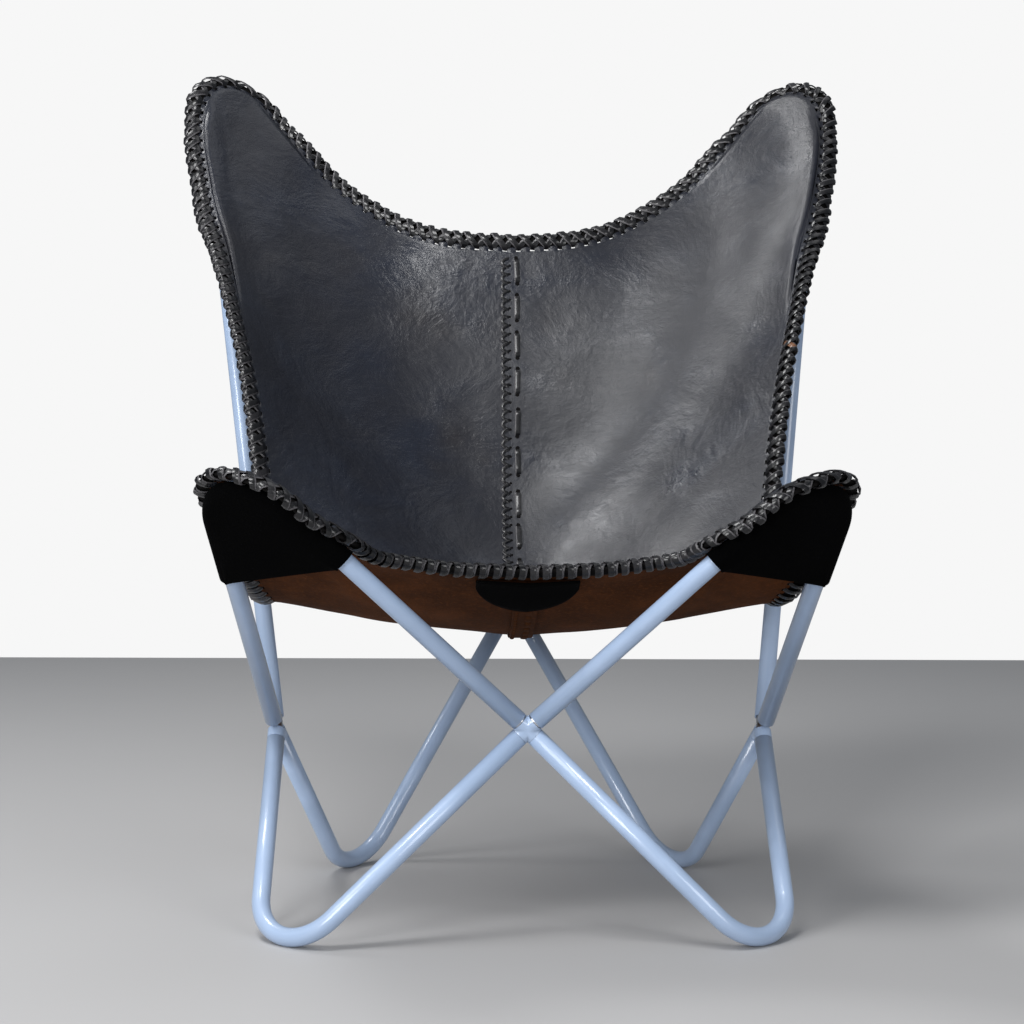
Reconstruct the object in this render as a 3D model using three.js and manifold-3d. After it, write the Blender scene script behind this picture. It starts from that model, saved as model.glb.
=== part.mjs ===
// Butterfly sling chair: a knock-down frame of bent round tube and a laced leather sling.
// Millimetres, +Z up. The chair faces -Y, and its left side is at -X.
// The origin is on the floor, under the middle of the chair.

import * as THREE from 'three';
import { mergeVertices } from 'three/addons/utils/BufferGeometryUtils.js';
import Module from 'manifold-3d';

const wasm = await Module();
wasm.setup();

// Frame tube and its joints
const tubeDiameter = 18;
const tubeWall = 1.5;
const spigotDepth = 34;
const spigotClearance = 0.3;
const seamGap = 0.3;
const topSeamGap = 1.8;
const tubeSides = 16;
const bendStepDegrees = 18;
const footPasses = 12;

// Bend radii at the tube's centre line
const frontTopBendRadius = 50;
const rearTopBendRadius = 40;
const footBendRadius = 56;

// Places where the centre lines of two legs would cross, before the bend rounds them off.
// Depths are measured back from the front hub.
const frontTopHalfWidth = 310;
const frontTopForward = 58;
const frontTopHeight = 499;
const rearTopHalfWidth = 397.5;
const rearTopDepth = 720;
const rearTopHeight = 1028;
const frontFootHalfWidth = 257;
const frontFootForward = 8;
const rearFootHalfWidth = 183;
const rearFootDepth = 376;

// Hubs where four legs cross
const frontHubHeight = 209;
const rearHubDepth = 482;
const rearHubHeight = 286;
const sideHubHalfWidth = 250;
const sideHubDepth = 188;
const sideHubHeight = 179;

// Flat that each foot bend rests on
const footFlatDepth = 0.5;

// Leather sling
const leatherThickness = 4;
const pocketThickness = 3;
const braidWidth = 21;
const braidThickness = 10;
const sheetClearance = 0.5;
const braidClearance = 1.5;
const sideBraidClearance = 0.45;
const facetAllowance = 0.6;
const pocketFacetAllowance = 0.5;
const twistAllowance = 1.8;
const seatHeight = 276;
const slingFrontHeight = 347;
const slingBackHeight = 696;
const centreSeamGap = 0.4;
const frontPocketDepth = 45;
const rearPocketDepth = 100;
const chainWidth = 11;
const chainThickness = 3;
const chainOffset = 8;
const stitchWidth = 4.5;
const stitchThickness = 2.4;
const stitchOffset = 3.5;
const backingWidth = 24;
const backingThickness = 2.5;
const patchHalfWidth = 49;
const patchThickness = 2;
const patchClearance = 1.2;
const seamBandClearance = 0.4;
const seamBandMargin = 6;
const freeHem = 4;
const frontCrossHem = 14;
const frontSideHem = 3;
const rearCornerHem = 6;
const frontHemDepth = 300;
const wrapStart = 2;
const wrapEnd = 12;

// Places where the edge of the leather follows a corner's tube. Round a bend they have an angle in
// degrees from its middle and an overhang beyond it. On the rear corner's side leg they have a share
// of the leg, measured down from the bend's centre, an overhang and a lift off the tube.
const frontCrossRun = 18;
const frontCrossLift = 4;
const frontCrossAngles = [-64, -42, -21];
const topCrossAngles = [-45, -22];
const frontSideAngles = [25, 50, 75];
const frontSideOverhangs = [2, 0, -5];
const rearSideAngles = [60, 30];
const sideLegShares = [0.587, 0.4995, 0.3915, 0.2745, 0.1945, 0.1115, 0.0235];
const sideLegOverhangs = [-9, -7.5, -3, 2, 2, 12, 14];
const sideLegLifts = [22.5, 25, 24.5, 13, 6, 1, 0];

// Front part of the side edge: shares of the front bends' half width, of the depth and of the
// height. Depths run from the front bend (0) to the rear top legs (1) at the same height. Heights
// run from the seat's lowest point (0) to the front bend (1) and the rear bend (2).
const sideEdgeShares = [
  [0.971, 0.178, 0.53],
  [0.905, 0.337, 0.265],
  [0.912, 0.4525, 0.26],
];

// Middle seam from front to back: shares of the depth and of the height.
const seamFrontShare = 0.0825;
const seamBackShare = 0.974;
const seamShares = [
  [0.163, 0.315],
  [0.303, 0.133],
  [0.4555, 0.012],
  [0.615, 0],
  [0.773, 0.145],
  [0.8795, 0.496],
  [0.929, 0.89],
  [0.945, 1.19],
  [0.965, 1.409],
];

// Front and top edge from the middle to the corner: shares of the width, of the depth and of the
// rise.
const frontEdgeShares = [
  [0.279, 0.114, 0.049],
  [0.467, 0.227, 0.132],
  [0.566, 0.47, 0.2],
  [0.648, 0.83, 0.345],
];
const topEdgeShares = [
  [0.231, 0.06, 0.03],
  [0.419, 0.36, 0.134],
  [0.644, 0.73, 0.393],
  [0.779, 0.87, 0.662],
];

// How far the end edges' own shape reaches into the sling, and how round its rows are
const frontReachShare = 0.3;
const topReachShare = 0.35;
const seatRoundness = 1.4;
const backRoundness = 2;
const backStartShare = 0.35;
const backEndShare = 0.8;

// Mesh of the leather. Its rows and columns crowd towards the corners.
const frontColumns = 15;
const panelRows = 28;
const rowCrowdingShare = 0.7;
const columnCrowdingShare = 0.4;
const rimStepsPerColumn = 2;
const insideShare = 0.94;
const middleShare = 0.5;
const hemRingShares = [0.5, 1];
const hemEndShare = 0.8;
const hemSideStartShare = -0.5;
const wrapFadePasses = 4;
const wrapFadeShare = 0.5;
const seamNudgeShare = 0.004;

// Outline of a lace-bound edge and of a flat band: shares of half the width and thickness
const braidSectionShares = [
  [1, 0], [0.6, 0.8], [-0.6, 0.8], [-1, 0], [-0.6, -0.8], [0.6, -0.8],
];
const flatSectionShares = [[1, -1], [1, 1], [-1, 1], [-1, -1]];

// Pockets. They begin at these degrees round the corner's tube (at the cross leg's hem, at the
// bend's end there, at its side end and at the side leg's hem) and pass under it.
const frontPocketStarts = [12, -36, 8, 40];
const rearPocketStarts = [-8, -8, -8, -8];
const pocketUnderside = -90;
const pocketColumns = 12;
const pocketLegSteps = 4;
const pocketRings = 4;
const pocketFlatRows = 3;

// Half-moon patch: where it starts and how far it reaches along the seam, and its blunt ends
const patchColumns = 12;
const patchRows = 3;
const patchStartShare = 0.004;
const patchReachShare = 0.08;
const patchEndShare = 0.985;

// Colours, roughness and metalness
const tubeLook = ['#9fb0c8', 0.42, 0.3];
const leatherLook = ['#26272b', 0.42, 0];
const suedeLook = ['#0b0b0d', 0.9, 0];
const laceLook = ['#17181b', 0.35, 0];
const fleshLook = ['#5a3822', 0.85, 0];

const tubeRadius = tubeDiameter / 2;
const innerRadius = tubeRadius - tubeWall;
const spigotRadius = innerRadius * Math.cos(Math.PI / tubeSides) - spigotClearance;
const halfBraid = braidWidth / 2;
const up = new THREE.Vector3(0, 0, 1);

const group = new THREE.Group();

function at(x, y, z) {
  return new THREE.Vector3(x, y, z);
}

function along(start, direction, distance) {
  return start.clone().addScaledVector(direction, distance);
}

function towards(start, end) {
  return end.clone().sub(start).normalize();
}

function mirrored(point) {
  return at(-point.x, point.y, point.z);
}

function mix(a, b, share) {
  return a + (b - a) * share;
}

// Each mesh has a material of its own.

function addMesh(name, geometry, [color, roughness, metalness]) {
  const material = new THREE.MeshStandardMaterial({ color, roughness, metalness });
  const mesh = new THREE.Mesh(geometry, material);
  mesh.name = name;
  group.add(mesh);
}

// Boolean cuts and joins

function toSolid(geometry) {
  const bare = geometry.clone();
  bare.deleteAttribute('normal');
  bare.deleteAttribute('uv');
  const merged = mergeVertices(bare);
  return new wasm.Manifold(new wasm.Mesh({
    numProp: 3,
    vertProperties: Float32Array.from(merged.attributes.position.array),
    triVerts: Uint32Array.from(merged.index.array),
  }));
}

function fromSolid(solid) {
  const mesh = solid.getMesh();
  const geometry = new THREE.BufferGeometry();
  geometry.setAttribute('position', new THREE.BufferAttribute(mesh.vertProperties, 3));
  geometry.setIndex(new THREE.BufferAttribute(mesh.triVerts, 1));
  return geometry;
}

// A bent leg pair: straight, one round bend, straight. Stations stand only where the tube bends.

class BentPath extends THREE.Curve {
  constructor(start, corner, end, radius) {
    super();
    const first = towards(corner, start);
    const second = towards(corner, end);
    const half = first.angleTo(second) / 2;
    const inward = first.clone().add(second).normalize();
    const centre = along(corner, inward, radius / Math.sin(half));
    const turn = Math.PI - 2 * half;
    const steps = Math.ceil(turn / THREE.MathUtils.degToRad(bendStepDegrees));
    const outward = inward.clone().negate();
    const side = second.clone().sub(first).normalize();
    this.points = [start.clone()];
    this.tangents = [first.clone().negate()];
    for (let i = 0; i <= steps; i += 1) {
      const angle = -turn / 2 + (turn * i) / steps;
      const radial = outward.clone().multiplyScalar(Math.cos(angle));
      radial.addScaledVector(side, Math.sin(angle));
      this.points.push(along(centre, radial, radius));
      const tangent = side.clone().multiplyScalar(Math.cos(angle));
      this.tangents.push(tangent.addScaledVector(outward, -Math.sin(angle)));
    }
    this.points.push(end.clone());
    this.tangents.push(second.clone());
    this.steps = this.points.length - 1;
  }

  getUtoTmapping(u) {
    return u;
  }

  getPoint(t, target = new THREE.Vector3()) {
    return target.copy(this.points[Math.round(t * this.steps)]);
  }

  getTangent(t, target = new THREE.Vector3()) {
    return target.copy(this.tangents[Math.round(t * this.steps)]);
  }
}

function ringPoints(radius) {
  const points = [];
  for (let i = 0; i < tubeSides; i += 1) {
    const angle = (2 * Math.PI * i) / tubeSides;
    points.push(new THREE.Vector2(radius * Math.cos(angle), radius * Math.sin(angle)));
  }
  return points;
}

function bentTube(path) {
  const section = new THREE.Shape(ringPoints(tubeRadius));
  section.holes.push(new THREE.Path(ringPoints(innerRadius)));
  return new THREE.ExtrudeGeometry(section, { extrudePath: path, steps: path.steps });
}

// A corner's own axes: inward along the middle of the two legs, across towards the side leg,
// and the normal of the plane that they lie in, which points up.

function cornerFrame(corner, crossHub, sideHub, radius) {
  const crossLeg = towards(corner, crossHub);
  const sideLeg = towards(corner, sideHub);
  const inward = crossLeg.clone().add(sideLeg).normalize();
  const normal = crossLeg.clone().cross(sideLeg).normalize();
  if (normal.dot(up) < 0) normal.negate();
  const across = along(sideLeg, inward, -sideLeg.dot(inward)).normalize();
  const half = crossLeg.angleTo(sideLeg) / 2;
  const centre = along(corner, inward, radius / Math.sin(half));
  return { corner, inward, normal, across, centre, radius, half, legs: [crossHub, sideHub] };
}

function inCorner(frame, outward, across, lift) {
  const point = along(frame.centre, frame.inward, -outward);
  point.addScaledVector(frame.across, across);
  return point.addScaledVector(frame.normal, lift);
}

// A foot's corner is lowered until the tube's lowest line lies one flat's depth under the floor.

function footCorner(crossHub, sideHub, x, y) {
  const corner = at(x, y, -footBendRadius);
  for (let i = 0; i < footPasses; i += 1) {
    const frame = cornerFrame(corner, crossHub, sideHub, footBendRadius);
    const fall = Math.sqrt(1 - frame.normal.z ** 2);
    const lowest = frame.centre.z - footBendRadius * fall - tubeRadius;
    corner.z -= lowest + footFlatDepth;
  }
  return corner;
}

// Hubs and corners

const frontHub = at(0, 0, frontHubHeight);
const rearHub = at(0, rearHubDepth, rearHubHeight);
const leftHub = at(-sideHubHalfWidth, sideHubDepth, sideHubHeight);
const frontTop = at(-frontTopHalfWidth, -frontTopForward, frontTopHeight);
const rearTop = at(-rearTopHalfWidth, rearTopDepth, rearTopHeight);
const frontFoot = footCorner(frontHub, leftHub, -frontFootHalfWidth, -frontFootForward);
const rearFoot = footCorner(rearHub, leftHub, -rearFootHalfWidth, rearFootDepth);
const frontCorner = cornerFrame(frontTop, frontHub, leftHub, frontTopBendRadius);
const rearCorner = cornerFrame(rearTop, rearHub, leftHub, rearTopBendRadius);

// The reach of a hub's arm is where its tube just clears the tubes of the other arms.

function armReach(directions, index) {
  let reach = 0;
  directions.forEach((direction, other) => {
    if (other === index) return;
    const half = directions[index].angleTo(direction) / 2;
    reach = Math.max(reach, (tubeRadius + seamGap) / Math.tan(half));
  });
  return reach;
}

function hubArms(hub, topCorners, footCorners) {
  const ends = [...topCorners, ...footCorners];
  const directions = ends.map((end) => towards(hub, end));
  return directions.map((direction, index) => {
    const gap = index < topCorners.length ? topSeamGap : seamGap;
    const reach = armReach(directions, index);
    return { direction, reach, start: along(hub, direction, reach + gap), gap };
  });
}

function rod(hub, direction, radius, length) {
  const geometry = new THREE.CylinderGeometry(radius, radius, length, tubeSides);
  geometry.translate(0, length / 2, 0);
  geometry.applyQuaternion(new THREE.Quaternion().setFromUnitVectors(at(0, 1, 0), direction));
  geometry.translate(hub.x, hub.y, hub.z);
  return toSolid(geometry);
}

function crossHub(hub, arms) {
  let body = null;
  arms.forEach(({ direction, reach, gap }) => {
    const sleeve = rod(hub, direction, tubeRadius, reach);
    const spigot = rod(hub, direction, spigotRadius, reach + gap + spigotDepth);
    const arm = sleeve.add(spigot);
    body = body ? body.add(arm) : arm;
  });
  return fromSolid(body);
}

const frontTopRight = mirrored(frontTop);
const rearTopRight = mirrored(rearTop);
const frontFootRight = mirrored(frontFoot);
const rearFootRight = mirrored(rearFoot);
const frontArms = hubArms(frontHub, [frontTop, frontTopRight], [frontFoot, frontFootRight]);
const rearArms = hubArms(rearHub, [rearTop, rearTopRight], [rearFoot, rearFootRight]);
const leftArms = hubArms(leftHub, [frontTop, rearTop], [frontFoot, rearFoot]);

// Cut away what lies under the floor, which leaves a small flat on the foot bend.

function restingOnFloor(geometry) {
  const box = new THREE.Box3().setFromBufferAttribute(geometry.attributes.position);
  const size = box.getSize(new THREE.Vector3());
  const centre = box.getCenter(new THREE.Vector3());
  const cutter = new THREE.BoxGeometry(size.x + tubeDiameter, size.y + tubeDiameter, tubeDiameter);
  cutter.translate(centre.x, centre.y, -tubeRadius);
  return fromSolid(toSolid(geometry).subtract(toSolid(cutter)));
}

function flipped(geometry) {
  const copy = geometry.clone();
  copy.scale(-1, 1, 1);
  if (!copy.index) copy.setIndex([...Array(copy.attributes.position.count).keys()]);
  const index = copy.index.array;
  for (let i = 0; i < index.length; i += 3) {
    [index[i], index[i + 1]] = [index[i + 1], index[i]];
  }
  return copy;
}

function addPair(leftName, geometry, look) {
  addMesh(leftName, geometry, look);
  addMesh(leftName.replace('left', 'right'), flipped(geometry), look);
}

function addTubes() {
  const tubes = [
    ['front_left_top_tube', frontArms[0], frontTop, leftArms[0], frontTopBendRadius],
    ['rear_left_top_tube', rearArms[0], rearTop, leftArms[1], rearTopBendRadius],
    ['front_left_foot_tube', frontArms[2], frontFoot, leftArms[2], footBendRadius],
    ['rear_left_foot_tube', rearArms[2], rearFoot, leftArms[3], footBendRadius],
  ];
  tubes.forEach(([name, first, corner, second, radius]) => {
    const tube = bentTube(new BentPath(first.start, corner, second.start, radius));
    const finished = name.includes('foot') ? restingOnFloor(tube) : fromSolid(toSolid(tube));
    addPair(name, finished, tubeLook);
  });
}

function addHubs() {
  addMesh('front_cross_hub', crossHub(frontHub, frontArms), tubeLook);
  addMesh('rear_cross_hub', crossHub(rearHub, rearArms), tubeLook);
  addPair('left_cross_hub', crossHub(leftHub, leftArms), tubeLook);
}

// The sling's left half is a surface between four lines: the front edge, the top edge, the side
// edge and the middle seam. At the corners the edge lines run over the crest of the bent tube.

const crestLift = tubeRadius + sheetClearance + facetAllowance + leatherThickness / 2;

function legSpread(frame, outward) {
  return (frame.radius - outward * Math.sin(frame.half)) / Math.cos(frame.half);
}

function crestPoint(frame, degrees, overhang = 0) {
  const angle = THREE.MathUtils.degToRad(degrees);
  const radius = frame.radius + overhang;
  return inCorner(frame, radius * Math.cos(angle), radius * Math.sin(angle), crestLift);
}

const frontApex = inCorner(frontCorner, frontTopBendRadius, 0, 0);
const rearApex = inCorner(rearCorner, rearTopBendRadius, 0, 0);

function heightAt(share) {
  if (share < 1) return mix(seatHeight, frontApex.z, share);
  return mix(frontApex.z, rearApex.z, share - 1);
}

// The depth of the rear top legs at a height is that of the plane through both of them.

function depthAt(share, height) {
  const climb = (height - rearHub.z) / (rearTop.z - rearHub.z);
  return mix(frontApex.y, mix(rearHub.y, rearTop.y, climb), share);
}

// A place given by its shares of the half width, depth and height

function slingPlace([widthShare, depthShare, heightShare]) {
  const height = heightAt(heightShare);
  return at(frontApex.x * widthShare, depthAt(depthShare, height), height);
}

const seamFront = at(0, depthAt(seamFrontShare, slingFrontHeight), slingFrontHeight);
const seamBack = at(0, depthAt(seamBackShare, slingBackHeight), slingBackHeight);

function edgePoint(middle, corner, [widthShare, depthShare, riseShare]) {
  const y = mix(middle.y, corner.y, depthShare);
  return at(corner.x * widthShare, y, mix(middle.z, corner.z, riseShare));
}

// A place of the side edge beside the rear corner's side leg.

function besideRearLeg(share, k) {
  const outward = -share * rearTop.distanceTo(leftHub);
  const across = legSpread(rearCorner, outward) + sideLegOverhangs[k];
  return inCorner(rearCorner, outward, across, crestLift + sideLegLifts[k]);
}

function smoothLine(points) {
  return new THREE.CatmullRomCurve3(points, false, 'centripetal');
}

const frontCrest = crestPoint(frontCorner, 0);
const rearCrest = crestPoint(rearCorner, 0);

const frontEdge = smoothLine([
  seamFront,
  ...frontEdgeShares.map((shares) => edgePoint(seamFront, frontCrest, shares)),
  inCorner(
    frontCorner,
    -frontCrossRun,
    -legSpread(frontCorner, -frontCrossRun),
    crestLift + frontCrossLift,
  ),
  ...frontCrossAngles.map((degrees) => crestPoint(frontCorner, degrees)),
  frontCrest,
]);

const topEdge = smoothLine([
  seamBack,
  ...topEdgeShares.map((shares) => edgePoint(seamBack, rearCrest, shares)),
  ...topCrossAngles.map((degrees) => crestPoint(rearCorner, degrees)),
  rearCrest,
]);

const sideEdge = smoothLine([
  frontCrest,
  ...frontSideAngles.map((degrees, k) => crestPoint(frontCorner, degrees, frontSideOverhangs[k])),
  ...sideEdgeShares.map(slingPlace),
  ...sideLegShares.map(besideRearLeg),
  ...rearSideAngles.map((degrees) => crestPoint(rearCorner, degrees)),
  rearCrest,
]);

const middleSeam = smoothLine([
  seamFront,
  ...seamShares.map(([depth, height]) => slingPlace([0, depth, height])),
  seamBack,
]);

// How much of an edge line's own shape a row still has, away from that edge.
function frontWeight(v) {
  return Math.max(0, 1 - v / frontReachShare) ** 2;
}

function topWeight(v) {
  return Math.max(0, 1 - (1 - v) / topReachShare) ** 2;
}

function slingRow(t, v) {
  const middle = middleSeam.getPointAt(v);
  const edge = sideEdge.getPointAt(v);
  const front = frontEdge.getPointAt(t).x / frontCrest.x;
  const top = topEdge.getPointAt(t).x / rearCrest.x;
  const share = mix(front, top, v);
  const blend = THREE.MathUtils.smoothstep(v, backStartShare, backEndShare);
  const bend = share ** mix(seatRoundness, backRoundness, blend);
  return at(edge.x * share, mix(middle.y, edge.y, bend), mix(middle.z, edge.z, bend));
}

function slingPoint(t, v) {
  const point = slingRow(t, v);
  const nearFront = frontEdge.getPointAt(t).sub(slingRow(t, 0));
  const nearTop = topEdge.getPointAt(t).sub(slingRow(t, 1));
  return point.addScaledVector(nearFront, frontWeight(v)).addScaledVector(nearTop, topWeight(v));
}

// The nearest point on the centre line of a corner's bent tube

function nearestOnTube(frame, point) {
  let best = null;
  const keep = (axisPoint) => {
    const distance = point.distanceTo(axisPoint);
    if (!best || distance < best.distance) best = { axisPoint, distance };
  };
  const bendStart = frame.radius / Math.tan(frame.half);
  frame.legs.forEach((hub) => {
    const leg = towards(frame.corner, hub);
    const reach = point.clone().sub(frame.corner).dot(leg);
    keep(along(frame.corner, leg, Math.max(bendStart, reach)));
  });
  const offset = point.clone().sub(frame.centre);
  offset.addScaledVector(frame.normal, -offset.dot(frame.normal)).normalize();
  if (offset.angleTo(frame.inward.clone().negate()) < Math.PI / 2 - frame.half) {
    keep(along(frame.centre, offset, frame.radius));
  }
  return best;
}

function nearestTube(point) {
  const places = [frontCorner, rearCorner].map((frame) => nearestOnTube(frame, point));
  return places[0].distance < places[1].distance ? places[0] : places[1];
}

// Push a point of the leather off the nearest tube.

function clearOfTubes(point) {
  [frontCorner, rearCorner].forEach((frame) => {
    const { axisPoint, distance } = nearestOnTube(frame, point);
    if (distance >= crestLift) return;
    const radial = towards(axisPoint, point);
    if (radial.dot(frame.normal) < 0) radial.reflect(frame.normal);
    point.copy(along(axisPoint, radial, crestLift));
  });
  return point;
}

// Rows and columns of the leather's grid, and stations along its rim

function rowShare(i) {
  const even = i / panelRows;
  return mix(even, (1 - Math.cos(Math.PI * even)) / 2, rowCrowdingShare);
}

function columnShare(j) {
  const even = j / frontColumns;
  return mix(even, Math.sin((Math.PI * even) / 2), columnCrowdingShare);
}

function rimStation(t, v) {
  const inside = slingPoint(t * insideShare, mix(middleShare, v, insideShare));
  return { point: slingPoint(t, v), inside };
}

function rimStations(places) {
  const stations = places.map(([t, v]) => rimStation(t, v));
  stations.forEach((station, i) => {
    const before = stations[Math.max(i - 1, 0)].point;
    const after = stations[Math.min(i + 1, stations.length - 1)].point;
    station.tangent = towards(before, after);
    if (i === 0 || i === stations.length - 1) station.tangent.set(Math.sign(station.tangent.x), 0, 0);
    const inward = station.inside.clone().sub(station.point);
    inward.addScaledVector(station.tangent, -inward.dot(station.tangent)).normalize();
    station.inward = inward;
    station.normal = inward.clone().cross(station.tangent).normalize();
    const { axisPoint, distance } = nearestTube(station.point);
    const far = THREE.MathUtils.smoothstep(distance, crestLift + wrapStart, crestLift + wrapEnd);
    station.wrap = 1 - far;
    station.axisPoint = axisPoint;
  });
  return stations;
}

// A place set off from the rim along the sheet, which follows the tube round where it is near.

function offRim(station, distance) {
  const free = along(station.point, station.inward, distance);
  const radial = towards(station.axisPoint, station.point);
  const around = along(station.inward, radial, -station.inward.dot(radial)).normalize();
  const angle = distance / crestLift;
  const turned = radial.multiplyScalar(Math.cos(angle)).addScaledVector(around, Math.sin(angle));
  const wrapped = along(station.axisPoint, turned, crestLift);
  return {
    point: free.lerp(wrapped, station.wrap),
    normal: station.normal.clone().lerp(turned, station.wrap).normalize(),
  };
}

function hemLength({ point, wrap }) {
  if (point.y > frontHemDepth) return mix(freeHem, rearCornerHem, wrap);
  const side = point.clone().sub(frontCorner.centre).dot(frontCorner.across) / frontCorner.radius;
  const sideShare = THREE.MathUtils.smoothstep(side, hemSideStartShare, 1);
  return mix(freeHem, mix(frontCrossHem, frontSideHem, sideShare), wrap);
}

// Places round the rim, from the middle of the front edge to the middle of the top edge

function placesOnRim() {
  const steps = frontColumns * rimStepsPerColumn;
  const places = [];
  for (let j = 0; j <= steps; j += 1) places.push([columnShare(j / rimStepsPerColumn), 0]);
  for (let i = 1; i <= panelRows; i += 1) places.push([1, rowShare(i)]);
  for (let j = steps - 1; j >= 0; j -= 1) places.push([columnShare(j / rimStepsPerColumn), 1]);
  return places;
}

// The way the hem wraps a tube fades in and out along the rim.

function fadeWrap(stations) {
  for (let pass = 0; pass < wrapFadePasses; pass += 1) {
    const wraps = stations.map(({ wrap }) => wrap);
    stations.forEach((station, k) => {
      const before = wraps[Math.max(k - 1, 0)];
      const after = wraps[Math.min(k + 1, wraps.length - 1)];
      station.wrap = mix(wraps[k], (before + after) / 2, wrapFadeShare);
    });
  }
  return stations;
}

const rimPlaces = placesOnRim();
const rim = fadeWrap(rimStations(rimPlaces));
const firstCorner = frontColumns * rimStepsPerColumn;
const lastCorner = rim.length - 1 - firstCorner;

function onPanelGrid(k) {
  if (k < firstCorner) return k % rimStepsPerColumn === 0;
  return k <= lastCorner || (k - lastCorner) % rimStepsPerColumn === 0;
}

// A closed sheet of even thickness over a set of points and four-cornered faces

function vertexNormals(points, faces) {
  const normals = points.map(() => at(0, 0, 0));
  faces.forEach(([a, b, c, d]) => {
    const normal = points[c].clone().sub(points[a]).cross(points[d].clone().sub(points[b]));
    [a, b, c, d].forEach((k) => normals[k].add(normal));
  });
  normals.forEach((normal, k) => {
    if (Math.abs(points[k].x) < centreSeamGap) normal.setX(0);
    normal.normalize();
  });
  return normals;
}

function outwardFacing(positions, index) {
  const geometry = new THREE.BufferGeometry();
  geometry.setAttribute('position', new THREE.Float32BufferAttribute(positions, 3));
  geometry.setIndex(index);
  const corners = index.map((k) => at(...positions.slice(3 * k, 3 * k + 3)));
  let volume = 0;
  for (let i = 0; i < corners.length; i += 3) {
    volume += corners[i].dot(corners[i + 1].clone().cross(corners[i + 2]));
  }
  if (volume < 0) geometry.index.array.reverse();
  return geometry;
}

function closedSheet(points, faces, thickness) {
  const normals = vertexNormals(points, faces);
  const positions = [];
  [thickness / 2, -thickness / 2].forEach((lift) => {
    points.forEach((point, k) => positions.push(...along(point, normals[k], lift).toArray()));
  });
  const count = points.length;
  const index = [];
  const quad = (a, b, c, d) => index.push(a, b, c, a, c, d);
  const open = new Map();
  faces.forEach(([a, b, c, d]) => {
    quad(a, b, c, d);
    quad(d + count, c + count, b + count, a + count);
    [[a, b], [b, c], [c, d], [d, a]].forEach(([from, to]) => {
      if (!open.delete(`${to}-${from}`)) open.set(`${from}-${to}`, [from, to]);
    });
  });
  open.forEach(([from, to]) => quad(to, from, from + count, to + count));
  return outwardFacing(positions, index);
}

function gridFaces(rows, columns) {
  const faces = [];
  for (let i = 0; i < rows; i += 1) {
    for (let j = 0; j < columns; j += 1) {
      const first = i * (columns + 1) + j;
      faces.push([first, first + 1, first + columns + 2, first + columns + 1]);
    }
  }
  return faces;
}

// Leather panel: a grid up to the crest lines, and a hem of two rings beyond them

function leatherPanel() {
  const points = [];
  for (let i = 0; i <= panelRows; i += 1) {
    for (let j = 0; j <= frontColumns; j += 1) {
      points.push(clearOfTubes(slingPoint(columnShare(j), rowShare(i))));
    }
  }
  const faces = gridFaces(panelRows, frontColumns);
  const gridPlaces = rimPlaces.filter((_, k) => onPanelGrid(k));
  const gridIndex = ([t, v], k) => {
    if (v === 0) return k;
    if (t === 1) return (k - frontColumns) * (frontColumns + 1) + frontColumns;
    return panelRows * (frontColumns + 1) + (gridPlaces.length - 1 - k);
  };
  let inner = gridPlaces.map(gridIndex);
  hemRingShares.forEach((share) => {
    const outer = rim.filter((_, k) => onPanelGrid(k)).map((station) => {
      const hem = offRim(station, -hemLength(station) * share);
      points.push(clearOfTubes(hem.point));
      return points.length - 1;
    });
    for (let k = 0; k < outer.length - 1; k += 1) {
      faces.push([inner[k + 1], inner[k], outer[k], outer[k + 1]]);
    }
    inner = outer;
  });
  points.forEach((point) => {
    point.x = Math.min(point.x, -centreSeamGap / 2);
  });
  return closedSheet(points, faces, leatherThickness);
}

function addPanels() {
  addPair('left_leather_panel', leatherPanel(), leatherLook);
}

// A lace-bound edge: a flattened round section swept along the rim

function sweptBand(stations, width, thickness, sectionShares) {
  const positions = [];
  const sides = sectionShares.length;
  stations.forEach(({ point, inward, normal }) => {
    sectionShares.forEach(([wide, thick]) => {
      const corner = along(point, inward, (wide * width) / 2);
      positions.push(...corner.addScaledVector(normal, (thick * thickness) / 2).toArray());
    });
  });
  const index = [];
  for (let i = 0; i < stations.length - 1; i += 1) {
    for (let j = 0; j < sides; j += 1) {
      const next = (j + 1) % sides;
      const a = i * sides + j;
      const b = i * sides + next;
      index.push(a, b, b + sides, a, b + sides, a + sides);
    }
  }
  const end = (stations.length - 1) * sides;
  for (let j = 1; j < sides - 1; j += 1) {
    index.push(0, j + 1, j, end, end + j, end + j + 1);
  }
  return outwardFacing(positions, index);
}

// The braid lies in line with the end of the hem.

function braidStations() {
  const stations = rim.map((station, k) => {
    const atSide = k > firstCorner && k < lastCorner;
    const clearance = atSide ? sideBraidClearance : braidClearance;
    const hem = hemLength(station);
    const before = offRim(station, -hem * hemEndShare);
    const end = offRim(station, -hem);
    const outward = towards(before.point, end.point);
    return { point: along(end.point, outward, halfBraid + clearance), normal: end.normal };
  });
  stations.forEach((station, i) => {
    const before = stations[Math.max(i - 1, 0)].point;
    const after = stations[Math.min(i + 1, stations.length - 1)].point;
    const tangent = towards(before, after);
    station.inward = tangent.clone().cross(station.normal).normalize();
    station.normal = station.inward.clone().cross(tangent).normalize();
  });
  stations.forEach(keepBraidOffTube);
  return stations;
}

function keepBraidOffTube({ point, inward, normal }) {
  const { axisPoint, distance } = nearestTube(point);
  const radial = towards(axisPoint, point);
  const wide = halfBraid * inward.dot(radial);
  const thick = (braidThickness / 2) * normal.dot(radial);
  const needed = tubeRadius + braidClearance + twistAllowance + Math.hypot(wide, thick);
  if (distance < needed) point.addScaledVector(radial, needed - distance);
}

function edgeBraid(stations) {
  return sweptBand(stations, braidWidth, braidThickness, braidSectionShares);
}

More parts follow.
